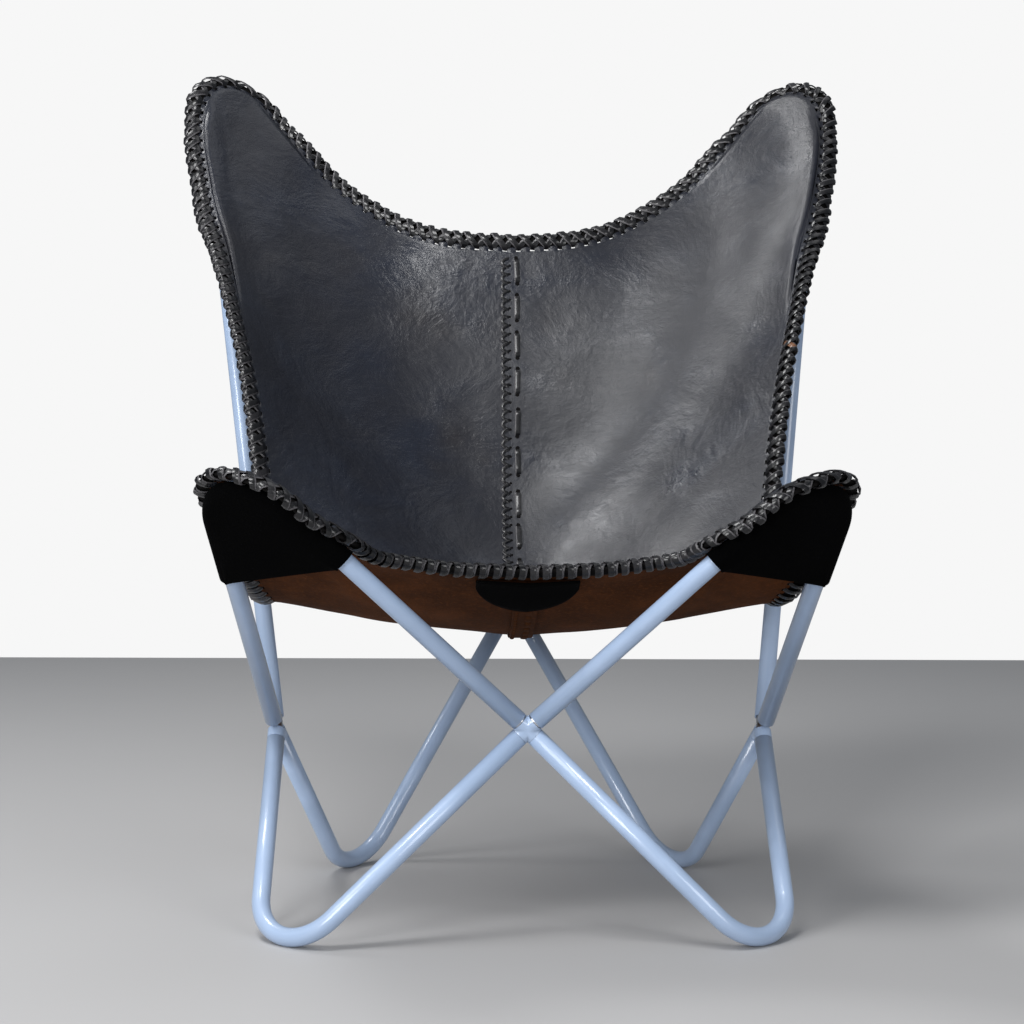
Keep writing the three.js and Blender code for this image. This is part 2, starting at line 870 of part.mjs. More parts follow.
function pulledIn(stations, margin) {
  const ends = [[0, 1], [stations.length - 1, stations.length - 2]];
  ends.forEach(([end, next]) => {
    const direction = towards(stations[end].point, stations[next].point);
    stations[end] = { ...stations[end], point: along(stations[end].point, direction, margin) };
  });
  return stations;
}

function mirrorStation({ point, inward, normal }) {
  return { point: mirrored(point), inward: mirrored(inward), normal: mirrored(normal) };
}

function acrossMiddle(half) {
  half[0].point.x = 0;
  half[0].inward.setX(0).normalize();
  half[0].normal.setX(0).normalize();
  return pulledIn([...half.slice(1).reverse(), ...half.map(mirrorStation)], braidClearance);
}

function addBraids() {
  const stations = braidStations();
  const side = pulledIn(stations.slice(firstCorner, lastCorner + 1), braidClearance);
  const front = acrossMiddle(stations.slice(0, firstCorner + 1));
  const top = acrossMiddle(stations.slice(lastCorner).reverse());
  addPair('left_edge_braid', edgeBraid(side), laceLook);
  addMesh('front_edge_braid', edgeBraid(front), laceLook);
  addMesh('top_edge_braid', edgeBraid(top), laceLook);
}

// Corner pockets: each wraps a corner's tube from below, between the braid and its own hem.

const pocketReach = tubeRadius + sheetClearance + pocketFacetAllowance + pocketThickness / 2;
function pocketRim(frame, depth) {
  const sweep = Math.PI / 2 - frame.half;
  const bendEnd = -frame.radius * Math.cos(sweep);
  const legStations = [];
  for (let i = pocketLegSteps; i > 0; i -= 1) {
    const legShare = i / pocketLegSteps;
    const outward = -mix(bendEnd, depth, legShare);
    legStations.push({ outward, across: legSpread(frame, outward), angle: sweep, legShare });
  }
  const stations = legStations.map((station) => (
    { ...station, across: -station.across, angle: -sweep }
  ));
  for (let i = 0; i <= pocketColumns; i += 1) {
    const angle = mix(-sweep, sweep, i / pocketColumns);
    const outward = frame.radius * Math.cos(angle);
    stations.push({ outward, across: frame.radius * Math.sin(angle), angle, legShare: 0 });
  }
  return [...stations, ...legStations.reverse()];
}

function pocketSheet(frame, depth, [crossStart, bendStart, bendEndStart, sideStart]) {
  const stations = pocketRim(frame, depth);
  const points = [];
  for (let k = 0; k <= pocketRings; k += 1) {
    stations.forEach(({ outward, across, angle, legShare }) => {
      const bendShare = (1 + angle / (Math.PI / 2 - frame.half)) / 2;
      const start = mix(
        mix(bendStart, bendEndStart, bendShare ** 2),
        angle < 0 ? crossStart : sideStart,
        legShare,
      );
      const turn = THREE.MathUtils.degToRad(mix(start, pocketUnderside, k / pocketRings));
      const beyond = pocketReach * Math.cos(turn);
      const placeOut = Math.max(outward + beyond * Math.cos(angle), -depth);
      const placeAcross = across + beyond * Math.sin(angle);
      points.push(inCorner(frame, placeOut, placeAcross, pocketReach * Math.sin(turn)));
    });
  }
  const hemSpread = legSpread(frame, -depth);
  const last = stations.length - 1;
  for (let k = 1; k <= pocketFlatRows; k += 1) {
    stations.forEach(({ outward, across }, i) => {
      const share = k / pocketFlatRows;
      const hemAcross = mix(-hemSpread, hemSpread, i / last);
      const place = [mix(outward, -depth, share), mix(across, hemAcross, share)];
      points.push(inCorner(frame, place[0], place[1], -pocketReach));
    });
  }
  return closedSheet(points, gridFaces(pocketRings + pocketFlatRows, last), pocketThickness);
}

function addPockets() {
  const front = pocketSheet(frontCorner, frontPocketDepth, frontPocketStarts);
  const rear = pocketSheet(rearCorner, rearPocketDepth, rearPocketStarts);
  addPair('front_left_pocket', front, suedeLook);
  addPair('rear_left_pocket', rear, suedeLook);
}

// Laces and strips along the middle seam. Each is a band set off from the seam and the leather.

function seamStation(v, offset, lift) {
  const middle = slingPoint(0, v);
  const beside = slingPoint(columnShare(1), v);
  const outward = towards(middle, beside);
  const point = along(middle, outward, Math.abs(offset));
  const ahead = slingPoint(0, Math.min(v + seamNudgeShare, 1));
  const step = ahead.sub(slingPoint(0, Math.max(v - seamNudgeShare, 0)));
  const normal = step.cross(outward).normalize();
  const station = { point: point.addScaledVector(normal, lift), inward: outward, normal };
  return offset > 0 ? mirrorStation(station) : station;
}

function seamBand(offset, width, thickness, side) {
  const lift = side * (leatherThickness / 2 + seamBandClearance + thickness / 2);
  const margin = seamBandMargin / middleSeam.getLength();
  const places = [margin];
  for (let i = 1; i < panelRows; i += 1) places.push(rowShare(i));
  places.push(1 - margin);
  const stations = places.map((v) => seamStation(v, offset, lift));
  if (offset === 0) {
    stations.forEach((station) => {
      station.inward.set(-1, 0, 0);
      station.normal.setX(0).normalize();
    });
  }
  return sweptBand(stations, width, thickness, flatSectionShares);
}

function addSeam() {
  const chain = seamBand(-chainOffset, chainWidth, chainThickness, 1);
  const runningLace = seamBand(stitchOffset, stitchWidth, stitchThickness, 1);
  addMesh('centre_chain_lace', chain, laceLook);
  addMesh('centre_running_lace', runningLace, laceLook);
  addMesh('seam_backing_strip', seamBand(0, backingWidth, backingThickness, -1), fleshLook);
}

// Half-moon patch sewn under the middle of the front edge

function halfMoonPatch() {
  const layers = leatherThickness / 2 + seamBandClearance + backingThickness;
  const lift = layers + patchClearance + patchThickness / 2;
  const points = [];
  for (let i = 0; i <= patchRows; i += 1) {
    for (let j = 0; j <= patchColumns; j += 1) {
      const side = mix(-1, 1, j / patchColumns);
      const bulge = Math.sqrt(1 - (side * patchEndShare) ** 2);
      const reach = mix(patchStartShare, patchReachShare, bulge);
      const v = mix(patchStartShare, reach, i / patchRows);
      const line = seamPlane(v);
      const drop = slingPoint(patchColumnShare(side), v);
      const point = at(side * patchHalfWidth, drop.y, drop.z);
      points.push(point.addScaledVector(line, -lift));
    }
  }
  return closedSheet(points, gridFaces(patchRows, patchColumns), patchThickness);
}

function seamPlane(v) {
  const ahead = middleSeam.getPointAt(v + seamNudgeShare);
  const step = ahead.sub(middleSeam.getPointAt(Math.max(v - seamNudgeShare, 0)));
  return at(1, 0, 0).cross(step).normalize();
}

function patchColumnShare(side) {
  return (Math.abs(side) * patchHalfWidth) / Math.abs(frontCrest.x);
}

function addPatch() {
  addMesh('front_edge_patch', halfMoonPatch(), suedeLook);
}

addTubes();
addHubs();
addPanels();
addBraids();
addPockets();
addSeam();
addPatch();

// Centre the chair over its origin.

const bounds = new THREE.Box3().setFromObject(group);
group.position.y = -bounds.getCenter(new THREE.Vector3()).y;

export default group;
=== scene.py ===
import math
import random
from dataclasses import dataclass
from functools import lru_cache

import bmesh
import bpy
from bmesh.types import BMEdge, BMFace, BMVert
from bpy.props import FloatProperty, FloatVectorProperty, IntProperty, PointerProperty
from mathutils import Matrix, Vector, noise


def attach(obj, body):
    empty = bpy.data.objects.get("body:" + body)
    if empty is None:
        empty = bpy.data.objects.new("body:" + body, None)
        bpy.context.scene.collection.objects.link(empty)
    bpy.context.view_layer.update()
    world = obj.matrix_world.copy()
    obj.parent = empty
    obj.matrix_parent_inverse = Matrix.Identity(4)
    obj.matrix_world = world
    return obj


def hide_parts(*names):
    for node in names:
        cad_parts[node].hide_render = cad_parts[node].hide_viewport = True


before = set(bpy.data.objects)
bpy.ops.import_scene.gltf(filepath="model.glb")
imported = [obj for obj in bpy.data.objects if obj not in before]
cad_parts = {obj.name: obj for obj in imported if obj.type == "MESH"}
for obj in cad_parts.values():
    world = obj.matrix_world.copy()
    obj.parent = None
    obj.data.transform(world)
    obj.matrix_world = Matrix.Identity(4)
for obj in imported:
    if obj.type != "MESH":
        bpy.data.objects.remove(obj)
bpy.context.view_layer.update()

bl_info = {
    "name": "Butterfly Sling Chair",
    "version": (1, 0, 0),
    "blender": (4, 5, 0),
    "location": "View3D > Sidebar > Chair",
    "description": "A knock-down frame of bent tube with a laced leather sling",
    "category": "Add Mesh",
}

# The chair faces -Y, its left side is at -X, and all places are in metres from the middle of
# its footprint on the floor.

# Centres of the front, rear and left hubs. The right hub mirrors the left one.
FRONT_HUB_DEPTH = -0.308906
FRONT_HUB = Vector((0, FRONT_HUB_DEPTH, 0.209))
REAR_HUB = Vector((0, FRONT_HUB_DEPTH + 0.482, 0.286))
LEFT_HUB = Vector((-0.25, FRONT_HUB_DEPTH + 0.188, 0.179))

# Tips where the centre lines of two legs would cross before the bend rounds them off
FRONT_TIP = Vector((-0.31, FRONT_HUB_DEPTH - 0.058, 0.499))
REAR_TIP = Vector((-0.3975, FRONT_HUB_DEPTH + 0.72, 1.028))
FRONT_FOOT = Vector((-0.257, FRONT_HUB_DEPTH - 0.008, 0))
REAR_FOOT = Vector((-0.183, FRONT_HUB_DEPTH + 0.376, 0))

# Depth of the flat under a foot, and the passes that lower the foot's bend to the floor
FOOT_FLAT_DEPTH = 0.0005
FOOT_FIT_PASSES = 12

# The sling's heights at the middle seam, and the clearances of leather and pockets from a tube
SEAT_HEIGHT = 0.276
FRONT_EDGE_HEIGHT = 0.347
TOP_EDGE_HEIGHT = 0.696
SHEET_GAP = 0.0011
POCKET_GAP = 0.001

# Front part of the side edge: shares of the front bends' half width, of the depth and of the
# height. Depths run from the front bend (0) to the rear top legs (1) at the same height, and
# heights from the seat's lowest point (0) to the front bend (1) and the rear bend (2).
SIDE_EDGE_SHARES = [
    (0.971, 0.178, 0.53),
    (0.905, 0.337, 0.265),
    (0.912, 0.4525, 0.26),
]

# Middle seam from front to back: shares of the depth and of the height
SEAM_FRONT_SHARE = 0.0825
SEAM_BACK_SHARE = 0.974
SEAM_SHARES = [
    (0.163, 0.315),
    (0.303, 0.133),
    (0.4555, 0.012),
    (0.615, 0),
    (0.773, 0.145),
    (0.8795, 0.496),
    (0.929, 0.89),
    (0.945, 1.19),
    (0.965, 1.409),
]

# Front and top edges from the middle to the corner: shares of the width, depth and rise
FRONT_EDGE_SHARES = [
    (0.279, 0.114, 0.049),
    (0.467, 0.227, 0.132),
    (0.566, 0.47, 0.2),
    (0.648, 0.83, 0.345),
]
TOP_EDGE_SHARES = [
    (0.231, 0.06, 0.03),
    (0.419, 0.36, 0.134),
    (0.644, 0.73, 0.393),
    (0.779, 0.87, 0.662),
]

# Places where the edge follows a corner's tube. Round a bend they have an angle in degrees and an
# overhang beyond it. On the rear corner's side leg they have a share of the leg, measured down
# from the bend's centre, an overhang and a lift off the tube. The front edge meets the front
# corner's cross leg at a run from the bend's centre, with a lift.
FRONT_BEND_ANGLES = (-64, -42, -21)
TOP_BEND_ANGLES = (-45, -22)
FRONT_SIDE_ANGLES = (25, 50, 75)
FRONT_SIDE_OVERHANGS = (0.002, 0, -0.005)
REAR_SIDE_ANGLES = (60, 30)
SIDE_LEG_SHARES = (0.587, 0.4995, 0.3915, 0.2745, 0.1945, 0.1115, 0.0235)
SIDE_LEG_OVERHANGS = (-0.009, -0.0075, -0.003, 0.002, 0.002, 0.012, 0.014)
SIDE_LEG_LIFTS = (0.0225, 0.025, 0.0245, 0.013, 0.006, 0.001, 0)
FRONT_CROSS_RUN = 0.018
FRONT_CROSS_LIFT = 0.004

# How far an edge's own shape reaches into the sling, and how round its rows are. The back's
# roundness takes over from the seat's between two shares of the way from front to top.
FRONT_REACH_SHARE = 0.3
TOP_REACH_SHARE = 0.35
SEAT_ROUNDNESS = 1.4
BACK_ROUNDNESS = 2
BACK_START_SHARE = 0.35
BACK_END_SHARE = 0.8

# How far the hem goes beyond the rim: away from the tubes, on the front corner's cross and side
# legs, with the change between them in bend radii towards the side, and on the rear corner
FREE_HEM = 0.004
FRONT_CROSS_HEM = 0.014
FRONT_SIDE_HEM = 0.003
FRONT_HEM_CHANGE = (-0.5, 1)
REAR_CORNER_HEM = 0.006
REAR_CORNER_START = FRONT_HUB_DEPTH + 0.3

# Between these distances from a tube the hem stops wrapping it
WRAP_START = 0.002
WRAP_END = 0.012
WRAP_FADE_PASSES = 60

# A panel's distance from the middle seam, and where the sheet's slope beside the rim is read
SEAM_GAP = 0.00005
INSIDE_SHARE = 0.94


def mix(a, b, share):
    return a + (b - a) * share


def smooth(value, low, high):
    """A soft step from 0 at low to 1 at high."""
    share = min(max((value - low) / (high - low), 0), 1)
    return share * share * (3 - 2 * share)


def across_middle(point):
    return Vector((-point.x, point.y, point.z))


def tangents(points):
    """A line's direction at each of its points. Its two ends run straight across the middle."""
    last = len(points) - 1
    found = [
        (points[min(i + 1, last)] - points[max(i - 1, 0)]).normalized() for i in range(last + 1)
    ]
    for end in (0, last):
        found[end] = Vector((math.copysign(1, found[end].x), 0, 0))
    return found


def softened(values, passes, fixed_ends=False):
    """Values along a line, each mixed with its neighbours a number of times."""
    last = len(values) - 1
    for _ in range(passes):
        values = [
            value if fixed_ends and i in (0, last)
            else (values[max(i - 1, 0)] + value * 2 + values[min(i + 1, last)]) / 4
            for i, value in enumerate(values)
        ]
    return values


def size(name, description, default):
    return FloatProperty(name=name, description=description, default=default, unit="LENGTH")


class ChairFrame(bpy.types.PropertyGroup):
    """Sizes of the tubes and hubs"""

    tube_diameter: size("Tube diameter", "Outer diameter of the bent tubes", 0.018)
    tube_wall: size("Tube wall", "Wall of the bent tubes", 0.0015)
    front_bend: size("Front bend", "Bend radius of the front corners at the tube's middle", 0.05)
    rear_bend: size("Rear bend", "Bend radius of the top corners at the tube's middle", 0.04)
    foot_bend: size("Foot bend", "Bend radius of the feet at the tube's middle", 0.056)
    plug_length: size("Plug length", "How deep a hub's plug reaches into its tube", 0.034)
    plug_gap: size("Plug gap", "Gap between a plug and the tube round it", 0.00044)
    top_seam: size("Top seam", "Gap between a hub and the tubes that rise from it", 0.0018)
    foot_seam: size("Foot seam", "Gap between a hub and the tubes that fall from it", 0.0003)


class ChairSling(bpy.types.PropertyGroup):
    """Sizes of the leather and its laces"""

    leather: size("Leather", "Thickness of the leather panels", 0.004)
    pocket: size("Pocket", "Thickness of the suede pockets", 0.003)
    front_pocket_depth: size(
        "Front pocket depth", "Reach of the front pockets in from the bend's centre", 0.045
    )
    rear_pocket_depth: size(
        "Rear pocket depth", "Reach of the rear pockets in from the bend's centre", 0.1
    )
    braid_width: size("Braid width", "Width of the lacing on the edges", 0.021)
    braid_thickness: size("Braid thickness", "Thickness of the lacing on the edges", 0.01)
    lace_pitch: size("Lace pitch", "Distance between two holes of the edge lacing", 0.0145)
    lace_width: size("Lace width", "Width of the flat lace on the edges", 0.005)
    lace_thickness: size("Lace thickness", "Thickness of the flat lace", 0.0019)
    chain_pitch: size("Chain pitch", "Distance between two loops of the seam's chain", 0.0112)
    chain_offset: size("Chain offset", "Distance of the chain from the seam", 0.0075)
    stitch_pitch: size("Stitch pitch", "Distance between two long stitches on the seam", 0.05)
    stitch_length: size("Stitch length", "Length of a long stitch on the seam", 0.033)
    stitch_offset: size("Stitch offset", "Distance of the long stitches from the seam", 0.006)
    strip_width: size("Strip width", "Width of the strip under the seam", 0.024)
    patch_half_width: size("Patch half width", "Half the width of the half-moon patch", 0.049)
    seed: IntProperty(
        name="Seed", description="Seed of the small differences between laces", default=7, min=0,
    )


def colour(name, description, default):
    return FloatVectorProperty(
        name=name, description=description, default=default, subtype="COLOR", size=3, min=0, max=1,
    )


class ChairColours(bpy.types.PropertyGroup):
    """Colours of the finishes"""

    tube: colour("Tube", "Pale blue-grey paint of the tubes", (0.33, 0.43, 0.60))
    plug: colour("Plug", "Bare metal of the plugs", (0.72, 0.73, 0.74))
    leather: colour("Leather", "Black grain side of the leather", (0.004, 0.005, 0.0105))
    # Painted sheen: a lighter colour of rubbed patches that stands in for cloudy highlights.
    painted_sheen: colour("Sheen", "Rubbed places on the leather", (0.0125, 0.0155, 0.0255))
    flesh: colour("Flesh", "Brown underside of the leather", (0.095, 0.031, 0.009))
    suede: colour("Suede", "Black suede of the pockets", (0.0007, 0.0007, 0.0008))
    lace: colour("Lace", "Black face of the lace", (0.0035, 0.0035, 0.0045))
    lace_edge: colour("Lace edge", "Cut edges of the lace", (0.11, 0.105, 0.113))
    floor: colour("Floor", "Plain floor of the studio", (0.46, 0.455, 0.455))
    backdrop: colour("Backdrop", "Plain wall behind the floor", (0.93, 0.93, 0.93))


# Curves that the edges of the sling follow


class Line:
    """A smooth line through a few points, read by the share of its length."""

    STEPS = 600

    def __init__(self, points):
        self.samples = [self._between(points, i / self.STEPS) for i in range(self.STEPS + 1)]
        self.reach = [0.0]
        for before, after in zip(self.samples, self.samples[1:]):
            self.reach.append(self.reach[-1] + (after - before).length)
        self.length = self.reach[-1]

    @staticmethod
    def _between(points, share):
        """A centripetal Catmull-Rom point."""
        last = len(points) - 1
        first = min(int(share * last), last - 1)
        local = share * last - first
        b, c = points[first], points[first + 1]
        a = points[first - 1] if first > 0 else b * 2 - c
        d = points[first + 2] if first + 2 <= last else c * 2 - b
        gap_ab, gap_bc, gap_cd = (math.sqrt((q - p).length) for p, q in ((a, b), (b, c), (c, d)))
        leave = (b - a) / gap_ab - (c - a) / (gap_ab + gap_bc) + (c - b) / gap_bc
        arrive = (c - b) / gap_bc - (d - b) / (gap_bc + gap_cd) + (d - c) / gap_cd
        leave, arrive = leave * gap_bc, arrive * gap_bc
        square, cube = local ** 2, local ** 3
        return (
            b * (2 * cube - 3 * square + 1) + leave * (cube - 2 * square + local)
            + c * (3 * square - 2 * cube) + arrive * (cube - square)
        )

    @lru_cache(maxsize=None)
    def at(self, share):
        wanted = min(max(share, 0), 1) * self.length
        low, high = 0, self.STEPS
        while high - low > 1:
            middle = (low + high) // 2
            if self.reach[middle] <= wanted:
                low = middle
            else:
                high = middle
        span = self.reach[high] - self.reach[low]
        return self.samples[low].lerp(self.samples[high], (wanted - self.reach[low]) / span)


class Corner:
    """A corner of the frame: two straight legs, the round bend between them and its plane."""

    def __init__(self, tip, cross_hub, side_hub, radius):
        cross = (cross_hub - tip).normalized()
        side = (side_hub - tip).normalized()
        self.tip, self.radius = tip.copy(), radius
        self.hubs = (cross_hub, side_hub)
        self.inward = (cross + side).normalized()
        self.normal = cross.cross(side).normalized()
        if self.normal.z < 0:
            self.normal.negate()
        self.across = (side - self.inward * side.dot(self.inward)).normalized()
        self.half = cross.angle(side) / 2
        self.centre = tip + self.inward * (radius / math.sin(self.half))

    def place(self, outward, across, lift):
        return self.centre - self.inward * outward + self.across * across + self.normal * lift

    def on_bend(self, degrees, beyond, lift):
        angle = math.radians(degrees)
        radius = self.radius + beyond
        return self.place(radius * math.cos(angle), radius * math.sin(angle), lift)

    def spread(self, outward):
        """How far a leg is from the middle of the corner, at a distance out from the centre."""
        return (self.radius - outward * math.sin(self.half)) / math.cos(self.half)

    def nearest(self, point):
        """The nearest point on the tube's centre line, and how far away it is."""
        found = []
        bend_start = self.radius / math.tan(self.half)
        for hub in self.hubs:
            leg = (hub - self.tip).normalized()
            found.append(self.tip + leg * max(bend_start, (point - self.tip).dot(leg)))
        offset = point - self.centre
        offset = (offset - self.normal * offset.dot(self.normal)).normalized()
        if offset.angle(-self.inward) < math.pi / 2 - self.half:
            found.append(self.centre + offset * self.radius)
        return min(((axis, (point - axis).length) for axis in found), key=lambda pair: pair[1])


def foot_corner(cross_hub, tip, radius, tube_radius):
    """A foot's corner, lowered until the tube's lowest line is one flat's depth under the floor."""
    place = tip.copy()
    place.z = -radius
    for _ in range(FOOT_FIT_PASSES):
        corner = Corner(place, cross_hub, LEFT_HUB, radius)
        fall = math.sqrt(1 - corner.normal.z ** 2)
        place.z -= corner.centre.z - radius * fall - tube_radius + FOOT_FLAT_DEPTH
    return Corner(place, cross_hub, LEFT_HUB, radius)


@dataclass
class Station:
    """One place on the rim of the sling, with the axes of the sheet there."""

    point: Vector
    inward: Vector
    normal: Vector
    axis: Vector = None
    wrap: float = 0.0
    hem: float = 0.0

    def mirrored(self):
        return Station(*(across_middle(part) for part in (self.point, self.inward, self.normal)))

    def place(self, across, lift):
        return self.point + self.inward * across + self.normal * lift


class Sling:
    """The left half of the sling: a surface between its front, top and side edges and its seam."""

    def __init__(self, sizes, leather):
        tube_radius = sizes.tube_diameter / 2
        self.front = Corner(FRONT_TIP, FRONT_HUB, LEFT_HUB, sizes.front_bend)
        self.rear = Corner(REAR_TIP, REAR_HUB, LEFT_HUB, sizes.rear_bend)
        self.tube_radius = tube_radius
        self.crest_lift = tube_radius + SHEET_GAP + leather / 2
        self.front_apex = self.front.on_bend(0, 0, 0)
        self.rear_apex = self.rear.on_bend(0, 0, 0)
        self.front_crest = self.front.on_bend(0, 0, self.crest_lift)
        self.rear_crest = self.rear.on_bend(0, 0, self.crest_lift)
        self.seam_front = self.seam_end(SEAM_FRONT_SHARE, FRONT_EDGE_HEIGHT)
        self.seam_back = self.seam_end(SEAM_BACK_SHARE, TOP_EDGE_HEIGHT)
        self.front_edge = self._front_edge()
        self.top_edge = self._top_edge()
        self.side_edge = self._side_edge()
        places = [self.share_place(0, depth, height) for depth, height in SEAM_SHARES]
        self.seam = Line([self.seam_front, *places, self.seam_back])

    def depth(self, share, height):
        """A depth from the front bend to the plane of the rear top legs, at a height."""
        climb = (height - REAR_HUB.z) / (REAR_TIP.z - REAR_HUB.z)
        return mix(self.front_apex.y, mix(REAR_HUB.y, REAR_TIP.y, climb), share)

    def seam_end(self, depth, height):
        return Vector((0, self.depth(depth, height), height))

    def height(self, share):
        if share < 1:
            return mix(SEAT_HEIGHT, self.front_apex.z, share)
        return mix(self.front_apex.z, self.rear_apex.z, share - 1)

    def share_place(self, width, depth, height):
        z = self.height(height)
        return Vector((self.front_apex.x * width, self.depth(depth, z), z))

    def beside_rear_leg(self, share, overhang, lift):
        outward = -share * (REAR_TIP - LEFT_HUB).length
        across = self.rear.spread(outward) + overhang
        return self.rear.place(outward, across, self.crest_lift + lift)

    @staticmethod
    def _edge_places(middle, crest, shares):
        return [
            Vector((crest.x * width, mix(middle.y, crest.y, depth), mix(middle.z, crest.z, rise)))
            for width, depth, rise in shares
        ]

    def _front_edge(self):
        run = -FRONT_CROSS_RUN
        lift = self.crest_lift
        return Line([
            self.seam_front,
            *self._edge_places(self.seam_front, self.front_crest, FRONT_EDGE_SHARES),
            self.front.place(run, -self.front.spread(run), lift + FRONT_CROSS_LIFT),
            *(self.front.on_bend(degrees, 0, lift) for degrees in FRONT_BEND_ANGLES),
            self.front_crest,
        ])

    def _top_edge(self):
        return Line([
            self.seam_back,
            *self._edge_places(self.seam_back, self.rear_crest, TOP_EDGE_SHARES),
            *(self.rear.on_bend(degrees, 0, self.crest_lift) for degrees in TOP_BEND_ANGLES),
            self.rear_crest,
        ])

    def _side_edge(self):
        lift = self.crest_lift
        return Line([
            self.front_crest,
            *(self.front.on_bend(degrees, overhang, lift)
              for degrees, overhang in zip(FRONT_SIDE_ANGLES, FRONT_SIDE_OVERHANGS)),
            *(self.share_place(*shares) for shares in SIDE_EDGE_SHARES),
            *(self.beside_rear_leg(*place)
              for place in zip(SIDE_LEG_SHARES, SIDE_LEG_OVERHANGS, SIDE_LEG_LIFTS)),
            *(self.rear.on_bend(degrees, 0, lift) for degrees in REAR_SIDE_ANGLES),
            self.rear_crest,
        ])

    def _row(self, across, along):
        middle, edge = self.seam.at(along), self.side_edge.at(along)
        front = self.front_edge.at(across).x / self.front_crest.x
        top = self.top_edge.at(across).x / self.rear_crest.x
        share = mix(front, top, along)
        back = smooth(along, BACK_START_SHARE, BACK_END_SHARE)
        bend = max(share, 0) ** mix(SEAT_ROUNDNESS, BACK_ROUNDNESS, back)
        return Vector((edge.x * share, mix(middle.y, edge.y, bend), mix(middle.z, edge.z, bend)))

    def at(self, across, along):
        """A point of the sheet: across from the seam (0) to the side (1), along front to back."""
        point = self._row(across, along)
        front = max(0, 1 - along / FRONT_REACH_SHARE) ** 2
        top = max(0, 1 - (1 - along) / TOP_REACH_SHARE) ** 2
        if front:
            point += (self.front_edge.at(across) - self._row(across, 0)) * front
        if top:
            point += (self.top_edge.at(across) - self._row(across, 1)) * top
        return point

    def nearest_tube(self, point):
        return min((corner.nearest(point) for corner in (self.front, self.rear)),
                   key=lambda pair: pair[1])

    def clear_of_tubes(self, point):
        for corner in (self.front, self.rear):
            axis, distance = corner.nearest(point)
            if distance < self.crest_lift:
                radial = (point - axis).normalized()
                if radial.dot(corner.normal) < 0:
                    radial = radial.reflect(corner.normal)
                point = axis + radial * self.crest_lift
        return point

    def hem_length(self, station):
        if station.point.y > REAR_CORNER_START:
            return mix(FREE_HEM, REAR_CORNER_HEM, station.wrap)
        side = (station.point - self.front.centre).dot(self.front.across) / self.front.radius
        hem = mix(FRONT_CROSS_HEM, FRONT_SIDE_HEM, smooth(side, *FRONT_HEM_CHANGE))
        return mix(FREE_HEM, hem, station.wrap)

    def rim(self, places):
        """Stations round the rim at the given places of the sheet."""
        points = [self.at(*place) for place in places]
        stations = []
        for (across, along), point, tangent in zip(places, points, tangents(points)):
            inward = self.at(across * INSIDE_SHARE, mix(along, 0.5, 1 - INSIDE_SHARE)) - point
            inward = (inward - tangent * inward.dot(tangent)).normalized()
            axis, distance = self.nearest_tube(point)
            near = smooth(distance, self.crest_lift + WRAP_START, self.crest_lift + WRAP_END)
            normal = inward.cross(tangent).normalized()
            stations.append(Station(point, inward, normal, axis, 1 - near))
        wraps = softened([station.wrap for station in stations], WRAP_FADE_PASSES)
        for station, wrap in zip(stations, wraps):
            station.wrap = wrap
            station.hem = self.hem_length(station)
        return stations

    def off_rim(self, station, distance):
        """A place set off from the rim along the sheet, which follows a tube that is near."""
        reach = self.crest_lift
        free = station.point + station.inward * distance
        radial = (station.point - station.axis).normalized()
        around = (station.inward - radial * station.inward.dot(radial)).normalized()
        turned = radial * math.cos(distance / reach) + around * math.sin(distance / reach)
        wrapped = station.axis + turned * reach
        normal = station.normal.lerp(turned, station.wrap).normalized()
        return free.lerp(wrapped, station.wrap), normal


# Hem and braid: the share of the hem from which its direction at the end is read, the braid's
# clearances from the hem and from the tubes, and the steps of the rim for each loop of lace

HEM_END_SHARE = 0.8
BRAID_CLEARANCE = 0.0015
SIDE_BRAID_CLEARANCE = 0.00045
BRAID_FADE_PASSES = 6
TWIST_ALLOWANCE = 0.0018
STEPS_PER_LOOP = 3


